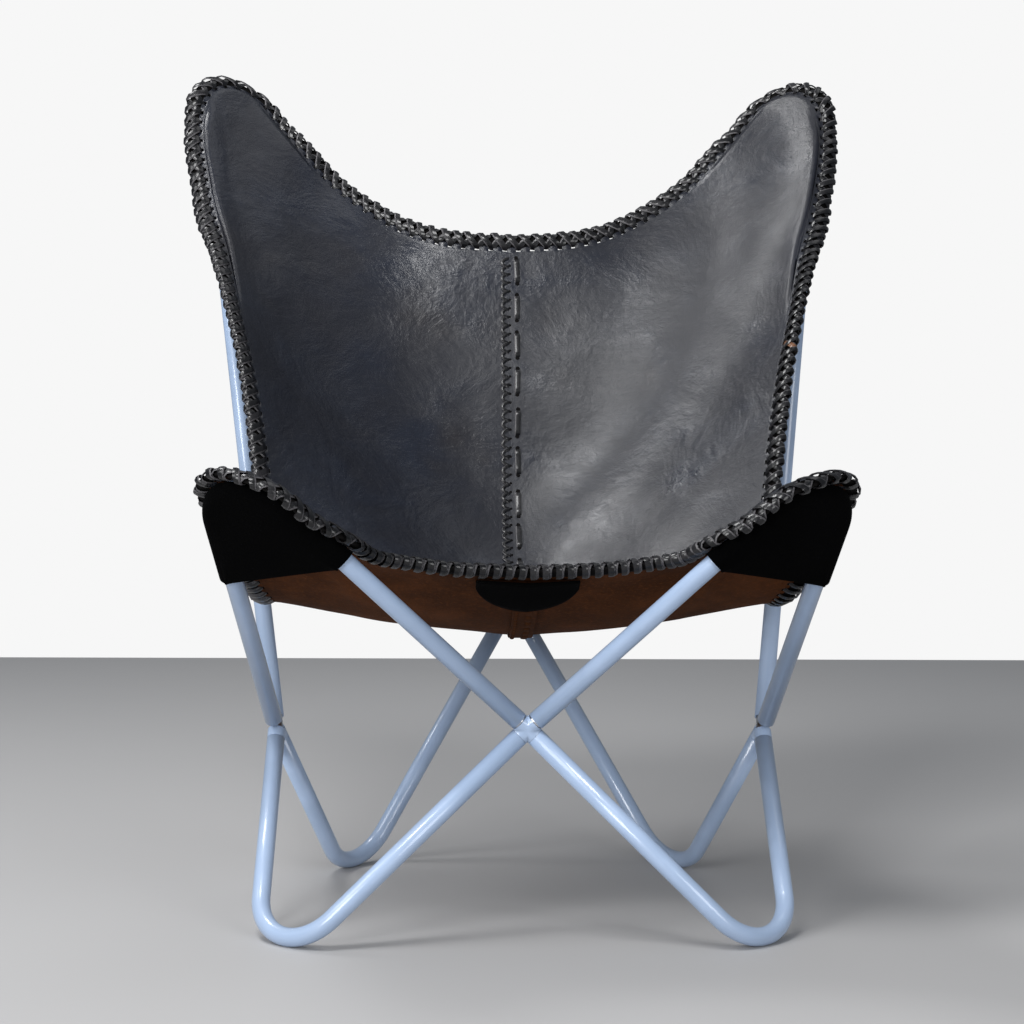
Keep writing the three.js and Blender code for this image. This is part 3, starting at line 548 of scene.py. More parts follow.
class Rim:
    """The rim of the whole sling: its hem, and the line that the braid follows right round."""

    def __init__(self, sling, sizes):
        self.sling = sling
        self.side_loops = round(sling.side_edge.length / sizes.lace_pitch)
        ends = (sling.front_edge.length + sling.top_edge.length) / 2
        self.end_loops = round(ends / sizes.lace_pitch)
        self.columns = self.end_loops * STEPS_PER_LOOP
        self.rows = self.side_loops * STEPS_PER_LOOP
        places = [(j / self.columns, 0) for j in range(self.columns + 1)]
        places += [(1, i / self.rows) for i in range(1, self.rows + 1)]
        places += [(j / self.columns, 1) for j in range(self.columns - 1, -1, -1)]
        self.stations = sling.rim(places)
        self.half_braid = sizes.braid_width / 2
        self.half_depth = sizes.braid_thickness / 2
        self.left = self._braid_line()
        right = [station.mirrored() for station in reversed(self.left)]
        self.loop = self.left[:-1] + right[:-1]

    def _braid_line(self):
        centres = []
        last = len(self.stations) - 1
        for k, station in enumerate(self.stations):
            at_side = self.columns < k < last - self.columns
            gap = SIDE_BRAID_CLEARANCE if at_side else BRAID_CLEARANCE
            before, _ = self.sling.off_rim(station, -station.hem * HEM_END_SHARE)
            end, normal = self.sling.off_rim(station, -station.hem)
            outward = (end - before).normalized()
            centres.append(Station(end + outward * (self.half_braid + gap), station.inward, normal))
        centres[0].point.x = 0
        centres[last].point.x = 0
        self._turn(centres)
        for station in centres:
            self._keep_off_tube(station)
        points = [station.point for station in centres]
        for station, point in zip(centres, softened(points, BRAID_FADE_PASSES, fixed_ends=True)):
            station.point = point
        self._turn(centres)
        return centres

    @staticmethod
    def _turn(stations):
        """Sets each station's axes square to the line through its neighbours."""
        for station, tangent in zip(stations, tangents([station.point for station in stations])):
            station.inward = tangent.cross(station.normal).normalized()
            station.normal = station.inward.cross(tangent).normalized()

    def _keep_off_tube(self, station):
        axis, distance = self.sling.nearest_tube(station.point)
        radial = (station.point - axis).normalized()
        wide = self.half_braid * station.inward.dot(radial)
        thick = self.half_depth * station.normal.dot(radial)
        needed = math.hypot(wide, thick)
        needed += self.sling.tube_radius + BRAID_CLEARANCE + TWIST_ALLOWANCE
        if distance < needed:
            station.point += radial * (needed - distance)

    def station(self, loops):
        """The braid's line at a number of loops from the middle of the front edge."""
        steps = (loops * STEPS_PER_LOOP) % len(self.loop)
        first = int(steps)
        a, b = self.loop[first], self.loop[(first + 1) % len(self.loop)]
        share = steps - first
        return Station(
            a.point.lerp(b.point, share),
            a.inward.lerp(b.inward, share).normalized(),
            a.normal.lerp(b.normal, share).normalized(),
        )


@lru_cache(maxsize=None)
def the_sling():
    scene = bpy.context.scene
    return Sling(scene.chair_frame, scene.chair_sling.leather)


@lru_cache(maxsize=None)
def the_rim():
    return Rim(the_sling(), bpy.context.scene.chair_sling)


# Materials


class Value:
    """A number worked out by a shader. Sums with it add Math nodes."""

    def __init__(self, finish, socket):
        self.finish = finish
        self.socket = socket

    def _maths(self, operation, *values):
        return self.finish.node(
            "ShaderNodeMath", {"operation": operation}, dict(enumerate(values))
        )

    def __add__(self, other):
        return self._maths("ADD", self, other)

    def __radd__(self, other):
        return self._maths("ADD", other, self)

    def __sub__(self, other):
        return self._maths("SUBTRACT", self, other)

    def __rsub__(self, other):
        return self._maths("SUBTRACT", other, self)

    def __mul__(self, other):
        return self._maths("MULTIPLY", self, other)

    def __rmul__(self, other):
        return self._maths("MULTIPLY", other, self)

    def __gt__(self, other):
        return self._maths("GREATER_THAN", self, other)

    def abs(self):
        return self._maths("ABSOLUTE", self)

    def step(self, low, high):
        """A soft step from 0 at low to 1 at high."""
        return self.finish.node(
            "ShaderNodeMapRange", {"interpolation_type": "SMOOTHSTEP"},
            {"Value": self, "From Min": low, "From Max": high},
        )


class Finish:
    """A material while it is put together."""

    def __init__(self, name, **constants):
        self.material = bpy.data.materials.new(name)
        self.material.use_nodes = True
        self.tree = self.material.node_tree
        self.tree.nodes.clear()
        self.shader = self.tree.nodes.new("ShaderNodeBsdfPrincipled")
        output = self.tree.nodes.new("ShaderNodeOutputMaterial")
        self.tree.links.new(self.shader.outputs["BSDF"], output.inputs["Surface"])
        for name, value in constants.items():
            self.shader.inputs[name.replace("_", " ")].default_value = value
        self.place = self.node("ShaderNodeTexCoord", output="Object")

    def node(self, kind, settings=None, values=None, output=0):
        node = self.tree.nodes.new(kind)
        for name, value in (settings or {}).items():
            setattr(node, name, value)
        for socket, value in (values or {}).items():
            self.feed(node.inputs[socket], value)
        return Value(self, node.outputs[output])

    def feed(self, socket, value):
        if isinstance(value, Value):
            self.tree.links.new(value.socket, socket)
        elif socket.type == "RGBA" and len(value) == 3:
            socket.default_value = (*value, 1)
        else:
            socket.default_value = value

    def set(self, **sockets):
        for name, value in sockets.items():
            self.feed(self.shader.inputs[name.replace("_", " ")], value)

    def noise(self, scale, detail, roughness=0.5, distortion=0.0, stretch=None):
        """Clouds of a fineness, with finer layers, and the layers' strength and swirl."""
        place = self.place
        if stretch:
            place = self.node("ShaderNodeMapping", values={"Vector": place, "Scale": stretch})
        return self.node(
            "ShaderNodeTexNoise",
            values={"Vector": place, "Scale": scale, "Detail": detail, "Roughness": roughness,
                    "Distortion": distortion},
        )

    def cells(self, scale):
        """Pores: the distance to the nearest edge between small cells."""
        return self.node(
            "ShaderNodeTexVoronoi", {"feature": "DISTANCE_TO_EDGE"},
            {"Vector": self.place, "Scale": scale}, output="Distance",
        )

    def attribute(self, name):
        return self.node("ShaderNodeAttribute", {"attribute_name": name}, output="Fac")

    def blend(self, share, a, b):
        """A colour between two. The Mix node keeps its colours in sockets 6 and 7."""
        return self.node("ShaderNodeMix", {"data_type": "RGBA"}, {0: share, 6: a, 7: b}, output=2)

    def bump(self, height, distance, strength, under=None):
        """The light's play on a height, with a depth in metres, over another bump."""
        values = {"Height": height, "Distance": distance, "Strength": strength}
        if under:
            values["Normal"] = under
        return self.node("ShaderNodeBump", values=values)


# Loops of lace with a chance above this have a brown fleck
FLECK_CHANCE = 0.994


def shaded(colour, share):
    return tuple(min(1, part * share) for part in colour)


def painted_tube_finish(colours):
    finish = Finish("painted_tube", Specular_IOR_Level=0.55, Coat_Weight=0.5)
    cloud = finish.noise(14, 3)
    speckle = finish.noise(900, 2)
    pale = tuple(min(1, part * 1.12 + 0.02) for part in colours.tube)
    finish.set(
        Base_Color=finish.blend(cloud.step(0.35, 0.7), colours.tube, pale),
        Roughness=finish.noise(60, 3) * 0.1 + 0.26,
        Normal=finish.bump(speckle + finish.noise(160, 2) * 2, 0.0002, 0.35),
    )
    return finish.material


def bare_metal_finish(colours):
    finish = Finish("bare_metal", Metallic=1.0)
    scratches = finish.noise(500, 3)
    finish.set(
        Base_Color=finish.blend(scratches.step(0.3, 0.8), colours.plug, (0.5, 0.5, 0.52)),
        Roughness=scratches * 0.2 + 0.2,
        Normal=finish.bump(scratches, 0.0001, 0.4),
    )
    return finish.material


def leather_finish(colours):
    finish = Finish(
        "black_leather", Specular_IOR_Level=0.5, Coat_Weight=0.1, Coat_Roughness=0.28
    )
    cloud = finish.noise(4.5, 5, 0.6, 0.6)
    blotch = finish.noise(13, 6, 0.62, 0.4)
    streak = finish.noise(16, 5, 0.6, 0.8, stretch=(0.45, 1, 1.5))
    fine = finish.noise(70, 6, 0.65)
    # Painted sheen: rubbed patches get a lighter colour for cloudy highlights, and less roughness.
    wear_and_sheen = (cloud * 0.55 + blotch * 0.3 + streak * 0.15).step(0.42, 0.62)
    brownish = finish.noise(7, 3).step(0.5, 0.75)
    sheen_and_rubbed = finish.blend(brownish, colours.painted_sheen, (0.019, 0.0165, 0.0165))
    base = finish.blend(wear_and_sheen, colours.leather, sheen_and_rubbed)
    creases = finish.noise(60, 4, 0.6, 1.2, stretch=(0.5, 1, 2.2))
    ridges = 1 - (creases - 0.5).abs() * 12
    height = fine * 0.5 + finish.cells(700) * 0.6 + ridges.step(0.2, 1) * 0.35
    dents = finish.bump(blotch + cloud, 0.007, 0.45)
    finish.set(
        Base_Color=finish.blend(fine.step(0.3, 0.8) * 0.5, base, colours.leather),
        Roughness=0.42 - wear_and_sheen * 0.2 + fine * 0.06,
        Normal=finish.bump(height, 0.0006, 0.3, dents),
    )
    return finish.material


def flesh_finish(colours):
    finish = Finish("leather_flesh", Specular_IOR_Level=0.08)
    cloud = finish.noise(9, 6, 0.65, 0.5)
    fibre = finish.noise(260, 5, 0.7)
    base = finish.blend(cloud.step(0.35, 0.7), shaded(colours.flesh, 0.45), colours.flesh)
    finish.set(
        Base_Color=finish.blend(fibre.step(0.45, 0.8) * 0.6, base, shaded(colours.flesh, 1.7)),
        Roughness=fibre * 0.2 + 0.7,
        Normal=finish.bump(fibre + cloud * 2, 0.0012, 0.5),
    )
    return finish.material


def suede_finish(colours):
    finish = Finish(
        "black_suede", Specular_IOR_Level=0.02, Sheen_Weight=0.005, Sheen_Roughness=0.4
    )
    nap = finish.noise(420, 5, 0.7)
    brushed = (nap * 0.6 + finish.noise(11, 4) * 0.4).step(0.4, 0.7)
    finish.set(
        Base_Color=finish.blend(brushed, colours.suede, shaded(colours.suede, 2.2)),
        Roughness=nap * 0.15 + 0.8,
        Normal=finish.bump(nap, 0.0008, 0.5),
    )
    return finish.material


def lace_finish(colours):
    """Black lace with a brown fleck on a few of its loops."""
    finish = Finish(
        "black_lace", Specular_IOR_Level=0.22, Coat_Weight=0.45, Coat_Roughness=0.12
    )
    chance = finish.attribute("chance")
    grain = finish.noise(800, 4, 0.6)
    worn = (chance * 0.5 + grain * 0.5).step(0.55, 0.75)
    lace = finish.blend(worn * 0.1, colours.lace, colours.lace_edge)
    finish.set(
        Base_Color=finish.blend(chance > FLECK_CHANCE, lace, (0.16, 0.075, 0.04)),
        Roughness=grain * 0.2 + 0.24,
        Normal=finish.bump(grain, 0.0005, 0.4),
    )
    return finish.material


def lace_edge_finish(colours):
    finish = Finish("lace_edge", Specular_IOR_Level=0.5)
    grain = finish.noise(900, 4, 0.6)
    dark = shaded(colours.lace_edge, 0.35)
    finish.set(
        Base_Color=finish.blend(grain.step(0.35, 0.7), dark, colours.lace_edge),
        Roughness=grain * 0.3 + 0.35,
        Normal=finish.bump(grain, 0.0004, 0.4),
    )
    return finish.material


# Painted shade: near black, for the shade in lace holes, braid gaps and the panels' cut edges.
def hole_shade_finish(_colours):
    finish = Finish("hole", Specular_IOR_Level=0.1)
    shade = finish.noise(300, 2)
    finish.set(
        Base_Color=finish.blend(shade, (0.002, 0.002, 0.002), (0.006, 0.005, 0.005)),
        Roughness=shade * 0.1 + 0.85,
    )
    return finish.material


def floor_finish(colours):
    finish = Finish("studio_floor", Specular_IOR_Level=0.3)
    cloud = finish.noise(2.5, 3)
    finish.set(
        Base_Color=finish.blend(cloud, colours.floor, shaded(colours.floor, 0.97)),
        Roughness=cloud * 0.1 + 0.55,
    )
    return finish.material


MAKERS = {
    "painted_tube": painted_tube_finish,
    "bare_metal": bare_metal_finish,
    "leather": leather_finish,
    "flesh": flesh_finish,
    "suede": suede_finish,
    "lace": lace_finish,
    "lace_edge": lace_edge_finish,
    "hole": hole_shade_finish,
    "floor": floor_finish,
}


@lru_cache(maxsize=None)
def material(name):
    return MAKERS[name](bpy.context.scene.chair_colours)


# Making pieces


def add_piece(name, mesh_source, materials, slot=None, replaced=()):
    """Turns a bmesh into a named object that rides on the chair."""
    mesh = bpy.data.meshes.new(name)
    mesh_source.to_mesh(mesh)
    mesh_source.free()
    piece = bpy.data.objects.new(name, mesh)
    bpy.context.scene.collection.objects.link(piece)
    for material_name in materials:
        mesh.materials.append(material(material_name))
    if slot:
        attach(piece, "root")
        if replaced:
            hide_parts(*replaced)
    return piece


def only(kind, items):
    return [item for item in items if isinstance(item, kind)]


def shade_smooth(mesh, sharp_angle=None):
    for face in mesh.faces:
        face.smooth = True
    if sharp_angle:
        for edge in mesh.edges:
            if len(edge.link_faces) == 2 and edge.calc_face_angle(0) > sharp_angle:
                edge.smooth = False


def grid_mesh(columns, rows):
    """A flat square grid of faces, one long and wide, to be bent into a sheet."""
    mesh = bmesh.new()
    bmesh.ops.create_grid(mesh, x_segments=columns, y_segments=rows, size=0.5)
    return mesh


def thicken(piece, thickness, offset=0):
    """Gives a sheet its thickness, half to each side, or all inside it with an offset of -1."""
    sheet = piece.modifiers.new("sheet", "SOLIDIFY")
    sheet.thickness = thickness
    sheet.offset = offset
    return sheet


def round_edges(piece, width, segments):
    rounding = piece.modifiers.new("rounding", "BEVEL")
    rounding.width = width
    rounding.segments = segments
    rounding.limit_method = "ANGLE"
    return rounding


def turned_to(direction, place):
    """A placing that turns +Z to a direction and moves it to a place."""
    return Matrix.Translation(place) @ direction.to_track_quat("Z", "Y").to_matrix().to_4x4()


def extruded(mesh, edges):
    """Extrudes edges, and gives back the new vertices, the edges between them and the faces."""
    result = bmesh.ops.extrude_edge_only(mesh, edges=edges)["geom"]
    verts = only(BMVert, result)
    new = set(verts)
    ahead = [edge for edge in only(BMEdge, result) if new.issuperset(edge.verts)]
    return verts, ahead, only(BMFace, result)


def extrude_ring(mesh, edges, offset):
    """Extrudes a ring of edges by an offset, and gives back the new ring."""
    verts, ring, _ = extruded(mesh, edges)
    bmesh.ops.translate(mesh, verts=verts, vec=offset)
    return ring


def mirror_mesh(mesh):
    """Turns a left piece into its right twin."""
    bmesh.ops.scale(mesh, vec=(-1, 1, 1), verts=mesh.verts[:])
    bmesh.ops.reverse_faces(mesh, faces=mesh.faces[:])


TUBE_SIDES = 48
BEND_STEPS = 28
TUBE_SHARP_ANGLE = math.radians(35)


def tube_mesh(corner, starts, radius):
    """A tube up one leg, round the bend and down the other leg."""
    mesh = bmesh.new()
    first, second = ((hub - corner.tip).normalized() for hub in corner.hubs)
    bend_run = corner.radius / math.tan(corner.half)
    bmesh.ops.create_circle(
        mesh, cap_ends=False, segments=TUBE_SIDES, radius=radius,
        matrix=turned_to(-first, starts[0]),
    )
    bend_start = corner.tip + first * bend_run
    ring = extrude_ring(mesh, mesh.edges[:], bend_start - starts[0])
    turn = math.pi - 2 * corner.half
    axis = (-first).cross(second).normalized()
    spun = bmesh.ops.spin(
        mesh, geom=ring, cent=corner.centre, axis=axis, dvec=(0, 0, 0), angle=turn,
        steps=BEND_STEPS, use_duplicate=False,
    )
    ring = only(BMEdge, spun["geom_last"])
    extrude_ring(mesh, ring, starts[1] - (corner.tip + second * bend_run))
    bmesh.ops.recalc_face_normals(mesh, faces=mesh.faces[:])
    return mesh


def arm_reach(directions, index, tube_radius, seam):
    """Where a hub's arm just clears the tubes of the other arms."""
    reach = 0
    for other, direction in enumerate(directions):
        if other != index:
            half = directions[index].angle(direction) / 2
            reach = max(reach, (tube_radius + seam) / math.tan(half))
    return reach


def hub_arms(hub, top_tips, foot_tips):
    """Direction, sleeve reach and tube start of each arm of a hub."""
    sizes = bpy.context.scene.chair_frame
    tips = [*top_tips, *foot_tips]
    directions = [(tip - hub).normalized() for tip in tips]
    arms = []
    for index, direction in enumerate(directions):
        seam = sizes.top_seam if index < len(top_tips) else sizes.foot_seam
        reach = arm_reach(directions, index, sizes.tube_diameter / 2, sizes.foot_seam)
        arms.append((direction, reach, hub + direction * (reach + seam)))
    return arms


@lru_cache(maxsize=None)
def skeleton():
    """The four left corners of the frame and the arms of its hubs."""
    sizes = bpy.context.scene.chair_frame
    radius = sizes.tube_diameter / 2
    corners = {
        "front_top": the_sling().front,
        "rear_top": the_sling().rear,
        "front_foot": foot_corner(FRONT_HUB, FRONT_FOOT, sizes.foot_bend, radius),
        "rear_foot": foot_corner(REAR_HUB, REAR_FOOT, sizes.foot_bend, radius),
    }
    tips = {name: corner.tip for name, corner in corners.items()}
    pairs = {name: [tip, across_middle(tip)] for name, tip in tips.items()}
    arms = {
        "front": hub_arms(FRONT_HUB, pairs["front_top"], pairs["front_foot"]),
        "rear": hub_arms(REAR_HUB, pairs["rear_top"], pairs["rear_foot"]),
        "left": hub_arms(
            LEFT_HUB, [tips["front_top"], tips["rear_top"]], [tips["front_foot"], tips["rear_foot"]]
        ),
    }
    return corners, arms


class ChairTubes(bpy.types.Operator):
    """Adds the eight bent tubes"""

    bl_idname = "chair.tubes"
    bl_label = "Tubes"
    bl_options = {"REGISTER", "UNDO"}

    ARMS = {
        "front_top": ("front", 0, 0),
        "rear_top": ("rear", 0, 1),
        "front_foot": ("front", 2, 2),
        "rear_foot": ("rear", 2, 3),
    }

    def execute(self, context):
        sizes = context.scene.chair_frame
        corners, arms = skeleton()
        for name, (hub, cross_arm, side_arm) in self.ARMS.items():
            starts = (arms[hub][cross_arm][2], arms["left"][side_arm][2])
            end, kind = name.split("_")
            for side in ("left", "right"):
                mesh = tube_mesh(corners[name], starts, sizes.tube_diameter / 2)
                if kind == "foot":
                    self.stand(mesh)
                if side == "right":
                    mirror_mesh(mesh)
                shade_smooth(mesh, TUBE_SHARP_ANGLE)
                piece = add_piece(
                    f"{end}_{side}_{kind}_painted_tube", mesh, ["painted_tube"], "painted_tube",
                    [f"{end}_{side}_{kind}_tube"],
                )
                thicken(piece, sizes.tube_wall, offset=-1)
        return {"FINISHED"}

    @staticmethod
    def stand(mesh):
        """Cuts the flat that the foot rests on."""
        everything = mesh.verts[:] + mesh.edges[:] + mesh.faces[:]
        cut = bmesh.ops.bisect_plane(
            mesh, geom=everything, plane_co=(0, 0, 0), plane_no=(0, 0, 1), clear_inner=True
        )
        bmesh.ops.holes_fill(mesh, edges=only(BMEdge, cut["geom_cut"]), sides=0)


def rod_mesh(start, direction, radius, length):
    mesh = bmesh.new()
    bmesh.ops.create_cone(
        mesh, cap_ends=True, segments=TUBE_SIDES, radius1=radius, radius2=radius, depth=length,
        matrix=turned_to(direction, start + direction * (length / 2)),
    )
    return mesh


HUB_FINISHES = ["painted_tube", "bare_metal"]
HUB_SHARP_ANGLE = math.radians(30)
HUB_ROUNDING = 0.0004
HUB_ROUNDING_ANGLE = math.radians(50)
HUB_WELD_REACH = 0.00001


class ChairHubs(bpy.types.Operator):
    """Adds the four hubs with their plugs"""

    bl_idname = "chair.hubs"
    bl_label = "Hubs"
    bl_options = {"REGISTER", "UNDO"}

    def execute(self, context):
        _, arms = skeleton()
        self.add_hub("front_cross_hub", FRONT_HUB, arms["front"])
        self.add_hub("rear_cross_hub", REAR_HUB, arms["rear"])
        self.add_hub("left_cross_hub", LEFT_HUB, arms["left"])
        self.add_hub("right_cross_hub", LEFT_HUB, arms["left"], twin=True)
        return {"FINISHED"}

    def add_hub(self, node, hub, arms, twin=False):
        sizes = bpy.context.scene.chair_frame
        tube_radius = sizes.tube_diameter / 2
        plug_radius = tube_radius - sizes.tube_wall - sizes.plug_gap
        rods = []
        for direction, reach, start in arms:
            length = (start - hub).length + sizes.plug_length
            rods.append(rod_mesh(hub, direction, tube_radius, reach))
            rods.append(rod_mesh(hub, direction, plug_radius, length))
        mesh = self.joined(node, rods)
        if twin:
            mirror_mesh(mesh)
        shade_smooth(mesh, HUB_SHARP_ANGLE)
        piece = add_piece(f"{node}_dressed", mesh, HUB_FINISHES, "painted_tube", [node])
        round_edges(piece, HUB_ROUNDING, 2).angle_limit = HUB_ROUNDING_ANGLE

    @staticmethod
    def joined(name, rods):
        """One solid made of several rods, which are a painted arm and a bare plug in turn."""
        objects = []
        for index, mesh in enumerate(rods):
            for face in mesh.faces:
                face.material_index = index % 2
            objects.append(add_piece(f"{name}_rod_{index}", mesh, HUB_FINISHES))
        first = objects[0]
        for other in objects[1:]:
            join = first.modifiers.new("join", "BOOLEAN")
            join.operation = "UNION"
            join.solver = "EXACT"
            join.object = other
        bpy.context.view_layer.update()
        shape = first.evaluated_get(bpy.context.evaluated_depsgraph_get())
        mesh = bmesh.new()
        mesh.from_mesh(shape.to_mesh())
        shape.to_mesh_clear()
        for item in objects:
            bpy.data.objects.remove(item)
        bmesh.ops.remove_doubles(mesh, verts=mesh.verts[:], dist=HUB_WELD_REACH)
        return mesh


# Leather panels

# Shares of the hem's length at its rings, and, beyond its end, where the row of holes begins and
# ends and where the leather ends inside the braid
HEM_RING_SHARES = (0.15, 0.4, 0.7)
HOLE_START = 0.0002
HOLE_END = 0.0042
PANEL_EDGE = 0.0085

# Soft dents: height, and how many fit in a metre
RIPPLE_HEIGHT = 0.0022
RIPPLE_SCALE = 6.5
FINE_RIPPLE_HEIGHT = 0.0005
FINE_RIPPLE_SCALE = 21
FINE_RIPPLE_SHIFT = Vector((3, 1, 7))

# Where the dents and the overlap fade out: shares across and along the sheet, and distances from
# the middle
SIDE_FADE = (1, 0.78)
FRONT_FADE = (0, 0.08)
TOP_FADE = (1, 0.93)
SEAM_FADE = (0.012, 0.05)
OVERLAP_FADE = (0.013, 0.0091)
OVERLAP_HEIGHT = 0.0001

# Boundary edges this near to the middle belong to the seam
SEAM_EDGE_REACH = 0.001


def ripple(point):
    """Soft dents of the stretched leather."""
    broad = noise.noise(point * RIPPLE_SCALE) * RIPPLE_HEIGHT
    fine = noise.noise(point * FINE_RIPPLE_SCALE + FINE_RIPPLE_SHIFT) * FINE_RIPPLE_HEIGHT
    return broad + fine


class ChairPanels(bpy.types.Operator):
    """Adds the two leather panels"""

    bl_idname = "chair.panels"
    bl_label = "Leather Panels"
    bl_options = {"REGISTER", "UNDO"}

    def execute(self, context):
        for side in ("left", "right"):
            mesh = self.panel_mesh(side == "right")
            shade_smooth(mesh)
            node = f"{side}_leather_panel"
            piece = add_piece(
                f"{side}_panel_leather", mesh, ["leather", "flesh", "hole"], "leather", [node]
            )
            sheet = thicken(piece, context.scene.chair_sling.leather)
            sheet.material_offset = 1
            # The panels' cut edges, round the lace holes and along the seam, get the near-black
            # painted shade.
            sheet.material_offset_rim = 2
        return {"FINISHED"}

    def panel_mesh(self, twin):
        sling, rim = the_sling(), the_rim()
        mesh = grid_mesh(rim.columns, rim.rows)
        step = mesh.verts.layers.int.new("step")
        where = {}
        for vert in mesh.verts:
            column = round((vert.co.x + 0.5) * rim.columns)
            row = round((vert.co.y + 0.5) * rim.rows)
            where[vert] = (column / rim.columns, row / rim.rows)
            vert[step] = self.rim_step(rim, column, row)
            vert.co = sling.clear_of_tubes(sling.at(*where[vert]))
            vert.co.x = min(vert.co.x, -SEAM_GAP)
        edges = [edge for edge in mesh.edges if edge.is_boundary
                 and edge.verts[0][step] and edge.verts[1][step]]
        self.add_hem(mesh, edges, step, rim)
        if twin:
            mirror_mesh(mesh)
        self.face_up(mesh)
        self.soften(mesh, where, twin)
        for edge in mesh.edges:
            if edge.is_boundary and max(abs(vert.co.x) for vert in edge.verts) < SEAM_EDGE_REACH:
                edge.smooth = False
        return mesh

    @staticmethod
    def rim_step(rim, column, row):
        """The rim's station at a place of the grid, counted from 1, or 0 inside."""
        if row == 0:
            return column + 1
        if column == rim.columns:
            return rim.columns + row + 1
        if row == rim.rows:
            return len(rim.stations) - column
        return 0

    @staticmethod
    def hem_rings(rim):
        """Places of the rings beyond the rim, a list for each ring."""
        rings = []
        for station, braid in zip(rim.stations, rim.left):
            lengths = [station.hem * share for share in (*HEM_RING_SHARES, 1)]
            *wrap, end = (rim.sling.off_rim(station, -length)[0] for length in lengths)
            outward = (braid.point - end).normalized()
            beyond = [end + outward * reach for reach in (HOLE_START, HOLE_END, PANEL_EDGE)]
            rings.append(wrap + beyond)
        return list(zip(*rings))

    def add_hem(self, mesh, edges, step, rim):
        """Adds the hem ring by ring, with every third face of one ring left out to make the holes.
        """
        holes = []
        for index, ring in enumerate(self.hem_rings(rim)):
            verts, edges, faces = extruded(mesh, edges)
            for vert in verts:
                vert.co = ring[vert[step] - 1]
                vert.co.x = min(vert.co.x, -SEAM_GAP)
            if index == len(HEM_RING_SHARES) + 1:
                holes = [face for face in faces
                         if (min(vert[step] for vert in face.verts) - 1) % STEPS_PER_LOOP == 1]
        bmesh.ops.delete(mesh, geom=holes, context="FACES")

    @staticmethod
    def face_up(mesh):
        """Turns the faces so that the grain side faces up and forward."""
        bmesh.ops.recalc_face_normals(mesh, faces=mesh.faces[:])
        if sum(face.normal.z * face.calc_area() for face in mesh.faces) < 0:
            bmesh.ops.reverse_faces(mesh, faces=mesh.faces[:])

    @staticmethod
    def soften(mesh, where, twin):
        """Adds the dents, and lays the right panel's edge over the left one's."""
        mesh.normal_update()
        for vert, (across, along) in where.items():
            fade = smooth(across, *SIDE_FADE) * smooth(abs(vert.co.x), *SEAM_FADE)
            fade *= smooth(along, *FRONT_FADE) * smooth(along, *TOP_FADE)
            lift = ripple(vert.co) * fade
            if twin:
                lift += OVERLAP_HEIGHT * smooth(abs(vert.co.x), *OVERLAP_FADE)
            vert.co += vert.normal * lift


# Lacing

# A lace's bar has six sides. The two wide ones, which face up and down, get the lace's first
# finish, the cut edges the second, and its holes the third, which is near-black painted shade.
BAR_SIDES = 6
BAR_FLATNESS = 1.6
BAR_FLAT_SLOPE = 0.7
LACE_FINISHES = ["lace", "lace_edge", "hole"]
HOLE_SHADE_INDEX = LACE_FINISHES.index("hole")
# The disc of painted shade where a lace goes down: its sides, its top's share, depth and lift.
HOLE_SHADE_SIDES = 14
HOLE_SHADE_TOP_SHARE = 0.8
HOLE_SHADE_DEPTH = 0.0006
HOLE_SHADE_LIFT = 0.0001


def bar_mesh(steps):
    """A straight bar, one long and two wide, to be bent along a lace's path."""
    mesh = bmesh.new()
    bmesh.ops.create_circle(
        mesh, cap_ends=True, segments=BAR_SIDES, radius=1,
        matrix=Matrix.Rotation(math.pi / 2, 4, "X") @ Matrix.Rotation(math.pi / 2, 4, "Y"),
    )
    for vert in mesh.verts:
        if abs(vert.co.z) > 0.5:
            vert.co.y *= BAR_FLATNESS
    ring = mesh.edges[:]
    for _ in range(steps):
        ring = extrude_ring(mesh, ring, (1 / steps, 0, 0))
    bmesh.ops.holes_fill(mesh, edges=ring, sides=0)
    bmesh.ops.recalc_face_normals(mesh, faces=mesh.faces[:])
    for face in mesh.faces:
        face.smooth = True
        face.material_index = 0 if abs(face.normal.z) > BAR_FLAT_SLOPE else 1
    for edge in mesh.edges:
        if len({face.material_index for face in edge.link_faces}) > 1:
            edge.smooth = False
    made = bpy.data.meshes.new("bar")
    mesh.to_mesh(made)
    mesh.free()
    return made


class Lacer:
    """Bends bars along paths and gathers them in one mesh."""

    def __init__(self, steps):
        self.steps = steps
        self.bar = bar_mesh(steps)
        self.holes = []
        self.mesh = bmesh.new()
        self.chance = self.mesh.verts.layers.float.new("chance")

    def add(self, path, width, thickness, chance):
        """Adds one lace along a path of centres, each with the way that its flat side faces."""
        line = Line([centre for centre, _ in path])
        last = len(path) - 1
        before = len(self.mesh.verts)
        self.mesh.from_mesh(self.bar)
        self.mesh.verts.ensure_lookup_table()
        sections = {}
        for vert in self.mesh.verts[before:]:
            share = vert.co.x
            key = round(share * self.steps)
            if key not in sections:
                ahead = line.at(min((key + 0.5) / self.steps, 1))
                behind = line.at(max((key - 0.5) / self.steps, 0))
                tangent = (ahead - behind).normalized()
                spot = share * last
                first = min(int(spot), last - 1)
                up = path[first][1].lerp(path[first + 1][1], spot - first)
                side = up.cross(tangent).normalized()
                sections[key] = (line.at(key / self.steps), side, tangent.cross(side))
            centre, side, up = sections[key]
            vert.co = centre + side * (vert.co.y * width / 2) + up * (vert.co.z * thickness / 2)
            vert[self.chance] = chance

    def add_hole_shades(self, radius):
        """Adds a disc of painted shade at each place kept in holes, where a lace goes down."""
        for place, normal in self.holes:
            made = bmesh.ops.create_cone(
                self.mesh, cap_ends=True, segments=HOLE_SHADE_SIDES, radius1=radius,
                radius2=radius * HOLE_SHADE_TOP_SHARE, depth=HOLE_SHADE_DEPTH,
                matrix=turned_to(normal, place + normal * HOLE_SHADE_LIFT),
            )
            for face in {face for vert in made["verts"] for face in vert.link_faces}:
                face.material_index = HOLE_SHADE_INDEX


